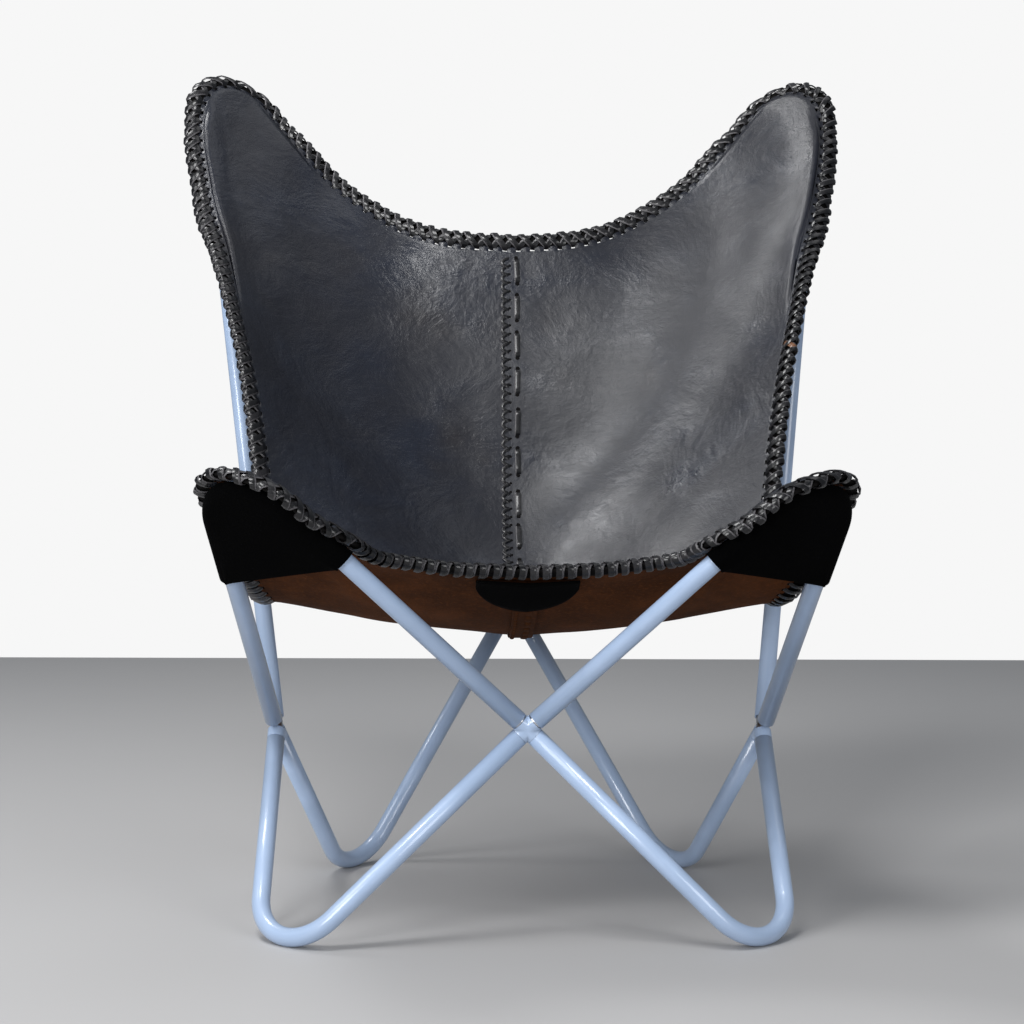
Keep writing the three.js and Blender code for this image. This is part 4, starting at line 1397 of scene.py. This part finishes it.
# One loop of the edge lacing. Each place is given in loops along the rim, in half widths of the
# braid towards the sheet, and in half thicknesses above it. The first lace runs from a hole over
# the edge and back from below; the second leans the other way and passes under the first.
OVER_PATH_SHARES = [
    (0.52, 0.80, 0.15), (0.44, 0.66, 0.78), (0.24, 0.30, 1.18), (-0.02, -0.20, 1.26),
    (-0.26, -0.78, 1.04), (-0.42, -1.08, 0.25), (-0.46, -1.04, -0.45), (-0.44, -0.5, -1.0),
    (-0.42, 0.25, -1.05), (-0.45, 0.8, -0.35),
]
UNDER_PATH_SHARES = [
    (0.48, 0.80, 0.05), (0.58, 0.62, 0.55), (0.76, 0.22, 0.86), (0.98, -0.22, 0.98),
    (1.18, -0.6, 0.88), (1.34, -0.84, 0.38), (1.42, -0.88, -0.35), (1.44, -0.6, -0.88),
    (1.46, 0.2, -0.9), (1.5, 0.78, -0.3),
]
CORE_SIDES = 8
CORE_WIDTH_SHARE = 0.78
CORE_THICKNESS_SHARE = 0.6
LACE_STEPS = 11
JITTER_SHARE = 0.07


def lace_place(rim, station, across, lift):
    """A place round the braid, and the direction that faces out there."""
    out = station.inward * (across / rim.half_braid) + station.normal * (lift / rim.half_depth)
    return station.place(across * rim.half_braid, lift * rim.half_depth), out.normalized()


class ChairBraid(bpy.types.Operator):
    """Adds the lacing round the whole rim of the sling"""

    bl_idname = "chair.braid"
    bl_label = "Edge Lacing"
    bl_options = {"REGISTER", "UNDO"}

    def execute(self, context):
        rim = the_rim()
        self.random = random.Random(context.scene.chair_sling.seed)
        front, side = rim.end_loops, rim.side_loops
        spans = {
            "left_edge": (front, front + side),
            "top_edge": (front + side, 3 * front + side),
            "right_edge": (3 * front + side, 3 * front + 2 * side),
            "front_edge": (-front, front),
        }
        for name, span in spans.items():
            lacer = Lacer(LACE_STEPS)
            for loop in range(*span):
                self.add_loop(lacer, rim, loop, OVER_PATH_SHARES)
                self.add_loop(lacer, rim, loop, UNDER_PATH_SHARES)
            self.add_core(lacer, rim, span)
            add_piece(f"{name}_lacing", lacer.mesh, LACE_FINISHES, "lace", [f"{name}_braid"])
        return {"FINISHED"}

    def add_loop(self, lacer, rim, loop, path_shares):
        sizes = bpy.context.scene.chair_sling
        slip = self.random.uniform(-JITTER_SHARE, JITTER_SHARE)
        stretch = self.random.uniform(1 - JITTER_SHARE, 1 + JITTER_SHARE)
        path = [
            lace_place(rim, rim.station(loop + along + slip), across * stretch, lift)
            for along, across, lift in path_shares
        ]
        lacer.add(path, sizes.lace_width * stretch, sizes.lace_thickness, self.random.random())

    @staticmethod
    def add_core(lacer, rim, span):
        """The leather and the inner laces that the loops lie on, in near-black painted shade."""
        laces = set(lacer.mesh.faces)
        wide, thick = rim.half_braid * CORE_WIDTH_SHARE, rim.half_depth * CORE_THICKNESS_SHARE
        rings = []
        for k in range((span[1] - span[0]) * STEPS_PER_LOOP + 1):
            station = rim.station(span[0] + k / STEPS_PER_LOOP)
            ahead = station.inward.cross(station.normal)
            matrix = Matrix((station.inward, station.normal, ahead)).transposed().to_4x4()
            matrix.translation = station.point
            made = bmesh.ops.create_circle(
                lacer.mesh, cap_ends=False, segments=CORE_SIDES, radius=1,
                matrix=matrix @ Matrix.Diagonal((wide, thick, 1, 1)),
            )
            rings.append({edge for vert in made["verts"] for edge in vert.link_edges})
        for before, after in zip(rings, rings[1:]):
            bmesh.ops.bridge_loops(lacer.mesh, edges=list(before | after))
        for ring in (rings[0], rings[-1]):
            bmesh.ops.holes_fill(lacer.mesh, edges=list(ring), sides=0)
        core = [face for face in lacer.mesh.faces if face not in laces]
        bmesh.ops.recalc_face_normals(lacer.mesh, faces=core)
        # The core gets the near-black painted shade, so that the gaps between the loops look deep.
        for face in core:
            face.smooth = True
            face.material_index = HOLE_SHADE_INDEX


# Laces on the middle seam

# How far apart the seam's direction and its slope to the side are read, as shares along and
# across the sheet, and where the seat's part of the seam ends
SEAM_STEP = 0.004
SEAM_SLOPE_SHARE = 0.03
SEAT_END_SHARE = 0.6


@dataclass
class SeamPlace:
    """A place on the middle seam, with the axes of the leather there."""

    point: Vector
    ahead: Vector
    outward: Vector
    normal: Vector

    def place(self, out, lift):
        return self.point + self.outward * out + self.normal * lift

    def level_normal(self):
        """The normal without its lean to either side."""
        return Vector((0, self.normal.y, self.normal.z)).normalized()


def seam_place(share, side):
    """The seam at a share of its length; outward points to the given side (-1 left, 1 right)."""
    sling = the_sling()
    point = sling.at(0, share)
    outward = (sling.at(SEAM_SLOPE_SHARE, share) - point).normalized()
    after, before = sling.at(0, min(share + SEAM_STEP, 1)), sling.at(0, max(share - SEAM_STEP, 0))
    ahead = (after - before).normalized()
    if side > 0:
        outward = across_middle(outward)
    normal = outward.cross(ahead).normalized()
    if normal.z < 0 and share < SEAT_END_SHARE or normal.y > 0 and share >= SEAT_END_SHARE:
        normal.negate()
    return SeamPlace(point, ahead, outward, normal)


# One loop of the chain: loops along the seam, half widths outward, and heights above the leather
CHAIN_PATH = [
    (-0.12, -0.85, -0.001), (-0.1, -0.3, 0.0008), (0.05, 0.55, 0.0016), (0.34, 1.0, 0.0014),
    (0.62, 0.72, 0.0012), (0.86, 0.0, 0.001), (0.98, -0.7, 0.0004), (1.0, -0.95, -0.001),
]
CHAIN_HALF_WIDTH = 0.0047
CHAIN_LACE_WIDTH = 0.0025
CHAIN_LACE_THICKNESS = 0.0017
CHAIN_HOLE_SHADE_RADIUS = 0.0017
CHAIN_HOLE_SHARE = 1.05

# One long stitch: half lengths along the seam and heights above the leather. Its holes lie just
# past its ends.
STITCH_PATH = [
    (-1, -0.003), (-0.93, -0.0004), (-0.8, 0.0013), (-0.4, 0.0012),
    (0.4, 0.0012), (0.8, 0.0013), (0.93, -0.0004), (1, -0.003),
]
STITCH_WIDTH = 0.0046
STITCH_THICKNESS = 0.0013
STITCH_LEAN = 0.0008
STITCH_HOLE_SHADE_RADIUS = 0.0027
STITCH_HOLE_SHARE = 1.03

# Bare lengths at the seam's two ends, and the highest chance of a seam's lace, so that none has
# a fleck
SEAM_MARGIN = 0.008
SEAM_TOP_MARGIN = 0.003
PLAIN_CHANCE = 0.9


class ChairSeam(bpy.types.Operator):
    """Adds the chain and the long stitches on the middle seam"""

    bl_idname = "chair.seam"
    bl_label = "Seam Laces"
    bl_options = {"REGISTER", "UNDO"}

    def execute(self, context):
        sizes = context.scene.chair_sling
        self.random = random.Random(sizes.seed + 1)
        length = the_sling().seam.length
        self.add_chain(sizes, length)
        self.add_stitches(sizes, length)
        return {"FINISHED"}

    def add_chain(self, sizes, length):
        lacer = Lacer(LACE_STEPS)
        surface = sizes.leather / 2
        pitch = sizes.chain_pitch
        count = int((length - SEAM_MARGIN) / pitch)
        start = length - SEAM_TOP_MARGIN - count * pitch
        hole_offset = sizes.chain_offset - CHAIN_HALF_WIDTH * CHAIN_HOLE_SHARE
        for loop in range(count):
            slip = self.random.uniform(-JITTER_SHARE, JITTER_SHARE) * 2
            path = []
            for along, out, lift in CHAIN_PATH:
                spot = seam_place((start + (loop + along + slip) * pitch) / length, -1)
                offset = sizes.chain_offset + out * CHAIN_HALF_WIDTH
                path.append((spot.place(offset, surface + lift), spot.normal))
            chance = self.random.random() * PLAIN_CHANCE
            lacer.add(path, CHAIN_LACE_WIDTH, CHAIN_LACE_THICKNESS, chance)
            spot = seam_place((start + loop * pitch) / length, -1)
            lacer.holes.append((spot.place(hole_offset, surface), spot.normal))
        lacer.add_hole_shades(CHAIN_HOLE_SHADE_RADIUS)
        add_piece("seam_chain", lacer.mesh, LACE_FINISHES, "lace", ["centre_chain_lace"])

    def add_stitches(self, sizes, length):
        lacer = Lacer(LACE_STEPS)
        surface = sizes.leather / 2 + OVERLAP_HEIGHT
        count = int((length - SEAM_MARGIN) / sizes.stitch_pitch)
        half = sizes.stitch_length / 2
        start = length - SEAM_TOP_MARGIN - half - (count - 1) * sizes.stitch_pitch

        def beside_seam(middle, lean, share, lift):
            spot = seam_place((middle + share * half) / length, 1)
            return spot.place(sizes.stitch_offset + lean * share, surface + lift), spot.normal

        for stitch in range(count):
            slip = self.random.uniform(-1, 1) * sizes.stitch_pitch * JITTER_SHARE
            middle = start + stitch * sizes.stitch_pitch + slip
            lean = self.random.uniform(-1, 1) * STITCH_LEAN
            path = [beside_seam(middle, lean, *place) for place in STITCH_PATH]
            chance = self.random.random() * PLAIN_CHANCE
            lacer.add(path, STITCH_WIDTH, STITCH_THICKNESS, chance)
            for share in (-STITCH_HOLE_SHARE, STITCH_HOLE_SHARE):
                lacer.holes.append(beside_seam(middle, lean, share, 0))
        lacer.add_hole_shades(STITCH_HOLE_SHADE_RADIUS)
        add_piece("seam_long_stitches", lacer.mesh, LACE_FINISHES, "lace", ["centre_running_lace"])


STRIP_THICKNESS = 0.0025
STRIP_GAP = 0.0004
STRIP_MARGIN = 0.006
STRIP_COLUMNS = 8
STRIP_ROWS = 120
STRIP_ROUNDING = 0.0006

# A stitch on the strip's underside: half lengths along and heights from the strip. The stitches
# of the chain and of the long lace each have an offset, half length, pitch and width.
STRIP_STITCH_PATH = [(-1, 0.0012), (-0.7, -0.0005), (0, -0.001), (0.7, -0.0005), (1, 0.0012)]
STRIP_CHAIN_STITCH = (0.0045, 0.009, 0.0024)
STRIP_CHAIN_OFFSET_SHARE = -1.1
STRIP_LONG_STITCH = (0.004, 0.01, 0.022, 0.0042)
STRIP_STITCH_THICKNESS = 0.0012
STRIP_STITCH_STEPS = 6


class ChairStrip(bpy.types.Operator):
    """Adds the strip under the middle seam with its stitches"""

    bl_idname = "chair.strip"
    bl_label = "Seam Strip"
    bl_options = {"REGISTER", "UNDO"}

    def execute(self, context):
        sizes = context.scene.chair_sling
        length = the_sling().seam.length
        margin = STRIP_MARGIN / length
        lift = -(sizes.leather / 2 + STRIP_GAP + STRIP_THICKNESS / 2)
        mesh = grid_mesh(STRIP_COLUMNS, STRIP_ROWS)
        for vert in mesh.verts:
            spot = seam_place(mix(margin, 1 - margin, vert.co.y + 0.5), 1)
            place = spot.point + spot.level_normal() * lift
            vert.co = place + Vector((vert.co.x * sizes.strip_width, 0, 0))
        bmesh.ops.recalc_face_normals(mesh, faces=mesh.faces[:])
        shade_smooth(mesh)
        piece = add_piece("seam_strip", mesh, ["flesh"], "flesh_leather", ["seam_backing_strip"])
        thicken(piece, STRIP_THICKNESS)
        round_edges(piece, STRIP_ROUNDING, 2)
        self.add_stitches(sizes, length)
        return {"FINISHED"}

    @staticmethod
    def add_stitches(sizes, length):
        """Brown stitches of the chain and of the long lace, seen from below."""
        lacer = Lacer(STRIP_STITCH_STEPS)
        below = -(sizes.leather / 2 + STRIP_GAP + STRIP_THICKNESS)
        chance = random.Random(sizes.seed + 2)
        chain_offset = sizes.chain_offset * STRIP_CHAIN_OFFSET_SHARE
        for offset, half, pitch, width in ((chain_offset, *STRIP_CHAIN_STITCH), STRIP_LONG_STITCH):
            beside = Vector((offset, 0, 0))
            for index in range(int((length - 4 * SEAM_MARGIN) / pitch)):
                middle = 2 * SEAM_MARGIN + (index + 0.5) * pitch
                path = []
                for share, drop in STRIP_STITCH_PATH:
                    spot = seam_place((middle + share * half) / length, 1)
                    up = spot.level_normal()
                    path.append((spot.point + beside + up * (below + drop), -up))
                lacer.add(path, width, STRIP_STITCH_THICKNESS, chance.random() * PLAIN_CHANCE)
        add_piece("seam_strip_stitches", lacer.mesh, ["flesh", "flesh"], "flesh_leather")


# Suede pockets and patch

POCKET_COLUMNS = 64
POCKET_LEG_SHARE = 0.25
POCKET_WRAP_ROWS = 14
POCKET_FLAT_ROWS = 18
POCKET_ROUNDING = 0.0009
POCKET_SAG = 0.0012

# Degrees round the tube where a pocket begins: at the cross leg's hem, at the bend's end there,
# at its side end and at the side leg's hem. It ends under the tube.
FRONT_POCKET_STARTS = (22, -28, 16, 46)
REAR_POCKET_STARTS = (2, 2, 2, 2)
POCKET_WRAP_END = -90

# Flat width and length of a pocket
FRONT_POCKET_FLAT = (0.2, 0.13)
REAR_POCKET_FLAT = (0.17, 0.18)


class ChairPockets(bpy.types.Operator):
    """Adds the four suede pockets that hold the sling on the corners"""

    bl_idname = "chair.pockets"
    bl_label = "Pockets"
    bl_options = {"REGISTER", "UNDO"}

    def execute(self, context):
        sling = the_sling()
        sizes = context.scene.chair_sling
        kinds = {
            "front": (
                sling.front, sizes.front_pocket_depth, FRONT_POCKET_STARTS, *FRONT_POCKET_FLAT
            ),
            "rear": (
                sling.rear, sizes.rear_pocket_depth, REAR_POCKET_STARTS, *REAR_POCKET_FLAT
            ),
        }
        for end, (corner, depth, starts, width, length) in kinds.items():
            for side in ("left", "right"):
                mesh = self.pocket_mesh(corner, depth, starts, sizes.pocket, side == "right")
                shade_smooth(mesh)
                piece = add_piece(
                    f"{end}_{side}_suede_pocket", mesh, ["suede"], "suede", [f"{end}_{side}_pocket"]
                )
                thicken(piece, sizes.pocket)
                round_edges(piece, POCKET_ROUNDING, 3)
        return {"FINISHED"}

    def pocket_mesh(self, corner, depth, starts, thickness, twin):
        rows = POCKET_WRAP_ROWS + POCKET_FLAT_ROWS
        mesh = grid_mesh(POCKET_COLUMNS, rows)
        reach = bpy.context.scene.chair_frame.tube_diameter / 2 + POCKET_GAP + thickness / 2
        for vert in mesh.verts:
            row = (vert.co.y + 0.5) * rows
            vert.co = self.pocket_place(corner, depth, starts, reach, vert.co.x * 2, row)
        if twin:
            mirror_mesh(mesh)
        bmesh.ops.recalc_face_normals(mesh, faces=mesh.faces[:])
        return mesh

    @staticmethod
    def pocket_place(corner, depth, starts, reach, side, row):
        """A point of the pocket: side runs from the cross leg (-1) to the side leg (1)."""
        sweep = math.pi / 2 - corner.half
        along = abs(side)
        bend = 1 - 2 * POCKET_LEG_SHARE
        leg = max(0, (along - bend) / (1 - bend))
        angle = math.copysign(min(along / bend, 1) * sweep, side)
        if leg:
            outward = mix(corner.radius * math.cos(sweep), -depth, leg)
            across = math.copysign(corner.spread(outward), side)
        else:
            outward, across = corner.radius * math.cos(angle), corner.radius * math.sin(angle)
        bend_share = (1 + angle / sweep) / 2
        start = mix(starts[1], starts[2], bend_share ** 2)
        start = mix(start, starts[0] if side < 0 else starts[3], leg)
        turn = math.radians(mix(start, POCKET_WRAP_END, min(row / POCKET_WRAP_ROWS, 1)))
        beyond = reach * math.cos(turn)
        place_out = max(outward + beyond * math.cos(angle), -depth)
        place_across = across + beyond * math.sin(angle)
        flat = max(0, row - POCKET_WRAP_ROWS) / POCKET_FLAT_ROWS
        if not flat:
            return corner.place(place_out, place_across, reach * math.sin(turn))
        middle = mix(outward, -depth, flat)
        hem_across = mix(across, corner.spread(-depth) * side, flat)
        return corner.place(middle, hem_across, -reach - math.sin(math.pi * flat) * POCKET_SAG)


PATCH_COLUMNS = 40
PATCH_ROWS = 10
PATCH_THICKNESS = 0.002
PATCH_GAP = 0.0012

# The patch runs between two shares of the seam. Its front edge hangs forward by a lip, and its
# half moon stops just short of the full half circle.
PATCH_START_SHARE = 0.001
PATCH_REACH_SHARE = 0.072
PATCH_LIP = 0.009
PATCH_END_SHARE = 0.985


class ChairPatch(bpy.types.Operator):
    """Adds the half-moon patch under the middle of the front edge"""

    bl_idname = "chair.patch"
    bl_label = "Half-Moon Patch"
    bl_options = {"REGISTER", "UNDO"}

    def execute(self, context):
        sizes = context.scene.chair_sling
        sling = the_sling()
        layers = sizes.leather / 2 + STRIP_GAP + STRIP_THICKNESS + PATCH_GAP
        lift = -(layers + PATCH_THICKNESS / 2)
        mesh = grid_mesh(PATCH_COLUMNS, PATCH_ROWS)
        for vert in mesh.verts:
            side = vert.co.x * 2
            bulge = math.sqrt(1 - (side * PATCH_END_SHARE) ** 2)
            reach = mix(PATCH_START_SHARE, PATCH_REACH_SHARE, bulge)
            along = mix(PATCH_START_SHARE, reach, vert.co.y + 0.5)
            spot = seam_place(along, 1)
            place = sling.at(abs(side) * sizes.patch_half_width / abs(sling.front_crest.x), along)
            place.x = side * sizes.patch_half_width
            lip = spot.ahead * PATCH_LIP * (0.5 - vert.co.y)
            vert.co = place - lip + spot.level_normal() * lift
        bmesh.ops.recalc_face_normals(mesh, faces=mesh.faces[:])
        shade_smooth(mesh)
        piece = add_piece("half_moon_patch", mesh, ["suede"], "suede", ["front_edge_patch"])
        thicken(piece, PATCH_THICKNESS)
        return {"FINISHED"}


# Studio

# The photograph's camera, fitted to the straight lines of the tubes: angles in radians, lens and
# sensor in millimetres
CAMERA_PLACE = Vector((-0.07562, FRONT_HUB_DEPTH - 1.96012, 0.50379))
CAMERA_YAW = 0.030535
CAMERA_PITCH = 0.046375
CAMERA_ROLL = 0.00642
CAMERA_LENS = 73.84
SENSOR_WIDTH = 36

FLOOR_PARTS = 8
FLOOR_HALF_SIZE = 2.05
FLOOR_GAP = 0.0002

WORLD_COLOUR = (0.86, 0.92, 1.0)
WORLD_STRENGTH = 0.22
LIGHT_AIM = Vector((0, 0, 0.5))

# Each light's place, size in metres and power in watts
LIGHTS = {
    "key": ((-2.3, -1.3, 2.3), 1.3, 32),
    "window": ((-1.7, -2.7, 1.1), 1.1, 46),
    "fill": ((1.5, -2.8, 1.1), 1.3, 28),
    "skylight": ((-0.7, -1.35, 2.7), 0.8, 34),
    "high_left": ((-1.15, 0.65, 2.6), 0.7, 20),
    "high_right": ((0.7, 0.6, 3.1), 1.4, 6),
}


class ChairStage(bpy.types.Operator):
    """Adds the camera, the lights and the plain floor"""

    bl_idname = "chair.stage"
    bl_label = "Studio"
    bl_options = {"REGISTER", "UNDO"}

    def execute(self, context):
        self.add_camera(context)
        self.add_floor()
        self.add_world(context)
        self.add_lights(context)
        return {"FINISHED"}

    @staticmethod
    def add_camera(context):
        camera = bpy.data.objects.new("camera", bpy.data.cameras.new("camera"))
        context.scene.collection.objects.link(camera)
        turn = (
            Matrix.Rotation(-CAMERA_YAW, 4, "Z")
            @ Matrix.Rotation(math.pi / 2 - CAMERA_PITCH, 4, "X")
            @ Matrix.Rotation(CAMERA_ROLL, 4, "Z")
        )
        camera.matrix_world = Matrix.Translation(CAMERA_PLACE) @ turn
        camera.data.lens = CAMERA_LENS
        camera.data.sensor_width = SENSOR_WIDTH
        context.scene.camera = camera

    @staticmethod
    def add_floor():
        mesh = bmesh.new()
        bmesh.ops.create_grid(
            mesh, x_segments=FLOOR_PARTS, y_segments=FLOOR_PARTS, size=FLOOR_HALF_SIZE,
            matrix=Matrix.Translation((0, 0, -FLOOR_GAP)),
        )
        add_piece("floor", mesh, ["floor"])

    @staticmethod
    def add_world(context):
        """A white backdrop round the floor for the camera, and a dimmer light from all round."""
        world = bpy.data.worlds.new("studio")
        world.use_nodes = True
        tree = world.node_tree
        output = tree.nodes["World Output"]
        light = tree.nodes["Background"]
        light.inputs["Color"].default_value = (*WORLD_COLOUR, 1)
        light.inputs["Strength"].default_value = WORLD_STRENGTH
        seen = tree.nodes.new("ShaderNodeBackground")
        seen.inputs["Color"].default_value = (*context.scene.chair_colours.backdrop, 1)
        path = tree.nodes.new("ShaderNodeLightPath")
        both = tree.nodes.new("ShaderNodeMixShader")
        tree.links.new(path.outputs["Is Camera Ray"], both.inputs[0])
        tree.links.new(light.outputs[0], both.inputs[1])
        tree.links.new(seen.outputs[0], both.inputs[2])
        tree.links.new(both.outputs[0], output.inputs["Surface"])
        context.scene.world = world
        context.scene.view_settings.view_transform = "Standard"

    @staticmethod
    def add_lights(context):
        for name, (place, size, power) in LIGHTS.items():
            light = bpy.data.lights.new(name, "AREA")
            light.size = size
            light.energy = power
            holder = bpy.data.objects.new(name, light)
            holder.location = place
            aim = LIGHT_AIM - Vector(place)
            holder.rotation_euler = aim.to_track_quat("-Z", "Y").to_euler()
            context.scene.collection.objects.link(holder)


class ChairPanel(bpy.types.Panel):
    """Lists the chair's sizes and pieces"""

    bl_idname = "VIEW3D_PT_sling_chair"
    bl_label = "Butterfly Sling Chair"
    bl_space_type = "VIEW_3D"
    bl_region_type = "UI"
    bl_category = "Chair"

    def draw(self, context):
        for group_name in GROUPS:
            group = getattr(context.scene, group_name)
            box = self.layout.box()
            for name in group.bl_rna.properties.keys():
                if name not in ("rna_type", "name"):
                    box.prop(group, name)
        for operator in OPERATORS:
            self.layout.operator(operator.bl_idname)


OPERATORS = [
    ChairTubes, ChairHubs, ChairPanels, ChairBraid, ChairSeam, ChairStrip, ChairPockets, ChairPatch,
    ChairStage,
]
GROUPS = {"chair_frame": ChairFrame, "chair_sling": ChairSling, "chair_colours": ChairColours}


def register():
    for name, group in GROUPS.items():
        bpy.utils.register_class(group)
        setattr(bpy.types.Scene, name, PointerProperty(type=group))
    for kind in (*OPERATORS, ChairPanel):
        bpy.utils.register_class(kind)


def unregister():
    for kind in (ChairPanel, *reversed(OPERATORS)):
        bpy.utils.unregister_class(kind)
    for name, group in GROUPS.items():
        delattr(bpy.types.Scene, name)
        bpy.utils.unregister_class(group)


def main():
    register()
    for operator in OPERATORS:
        area, name = operator.bl_idname.split(".")
        getattr(getattr(bpy.ops, area), name)()


if __name__ == "__main__":
    main()
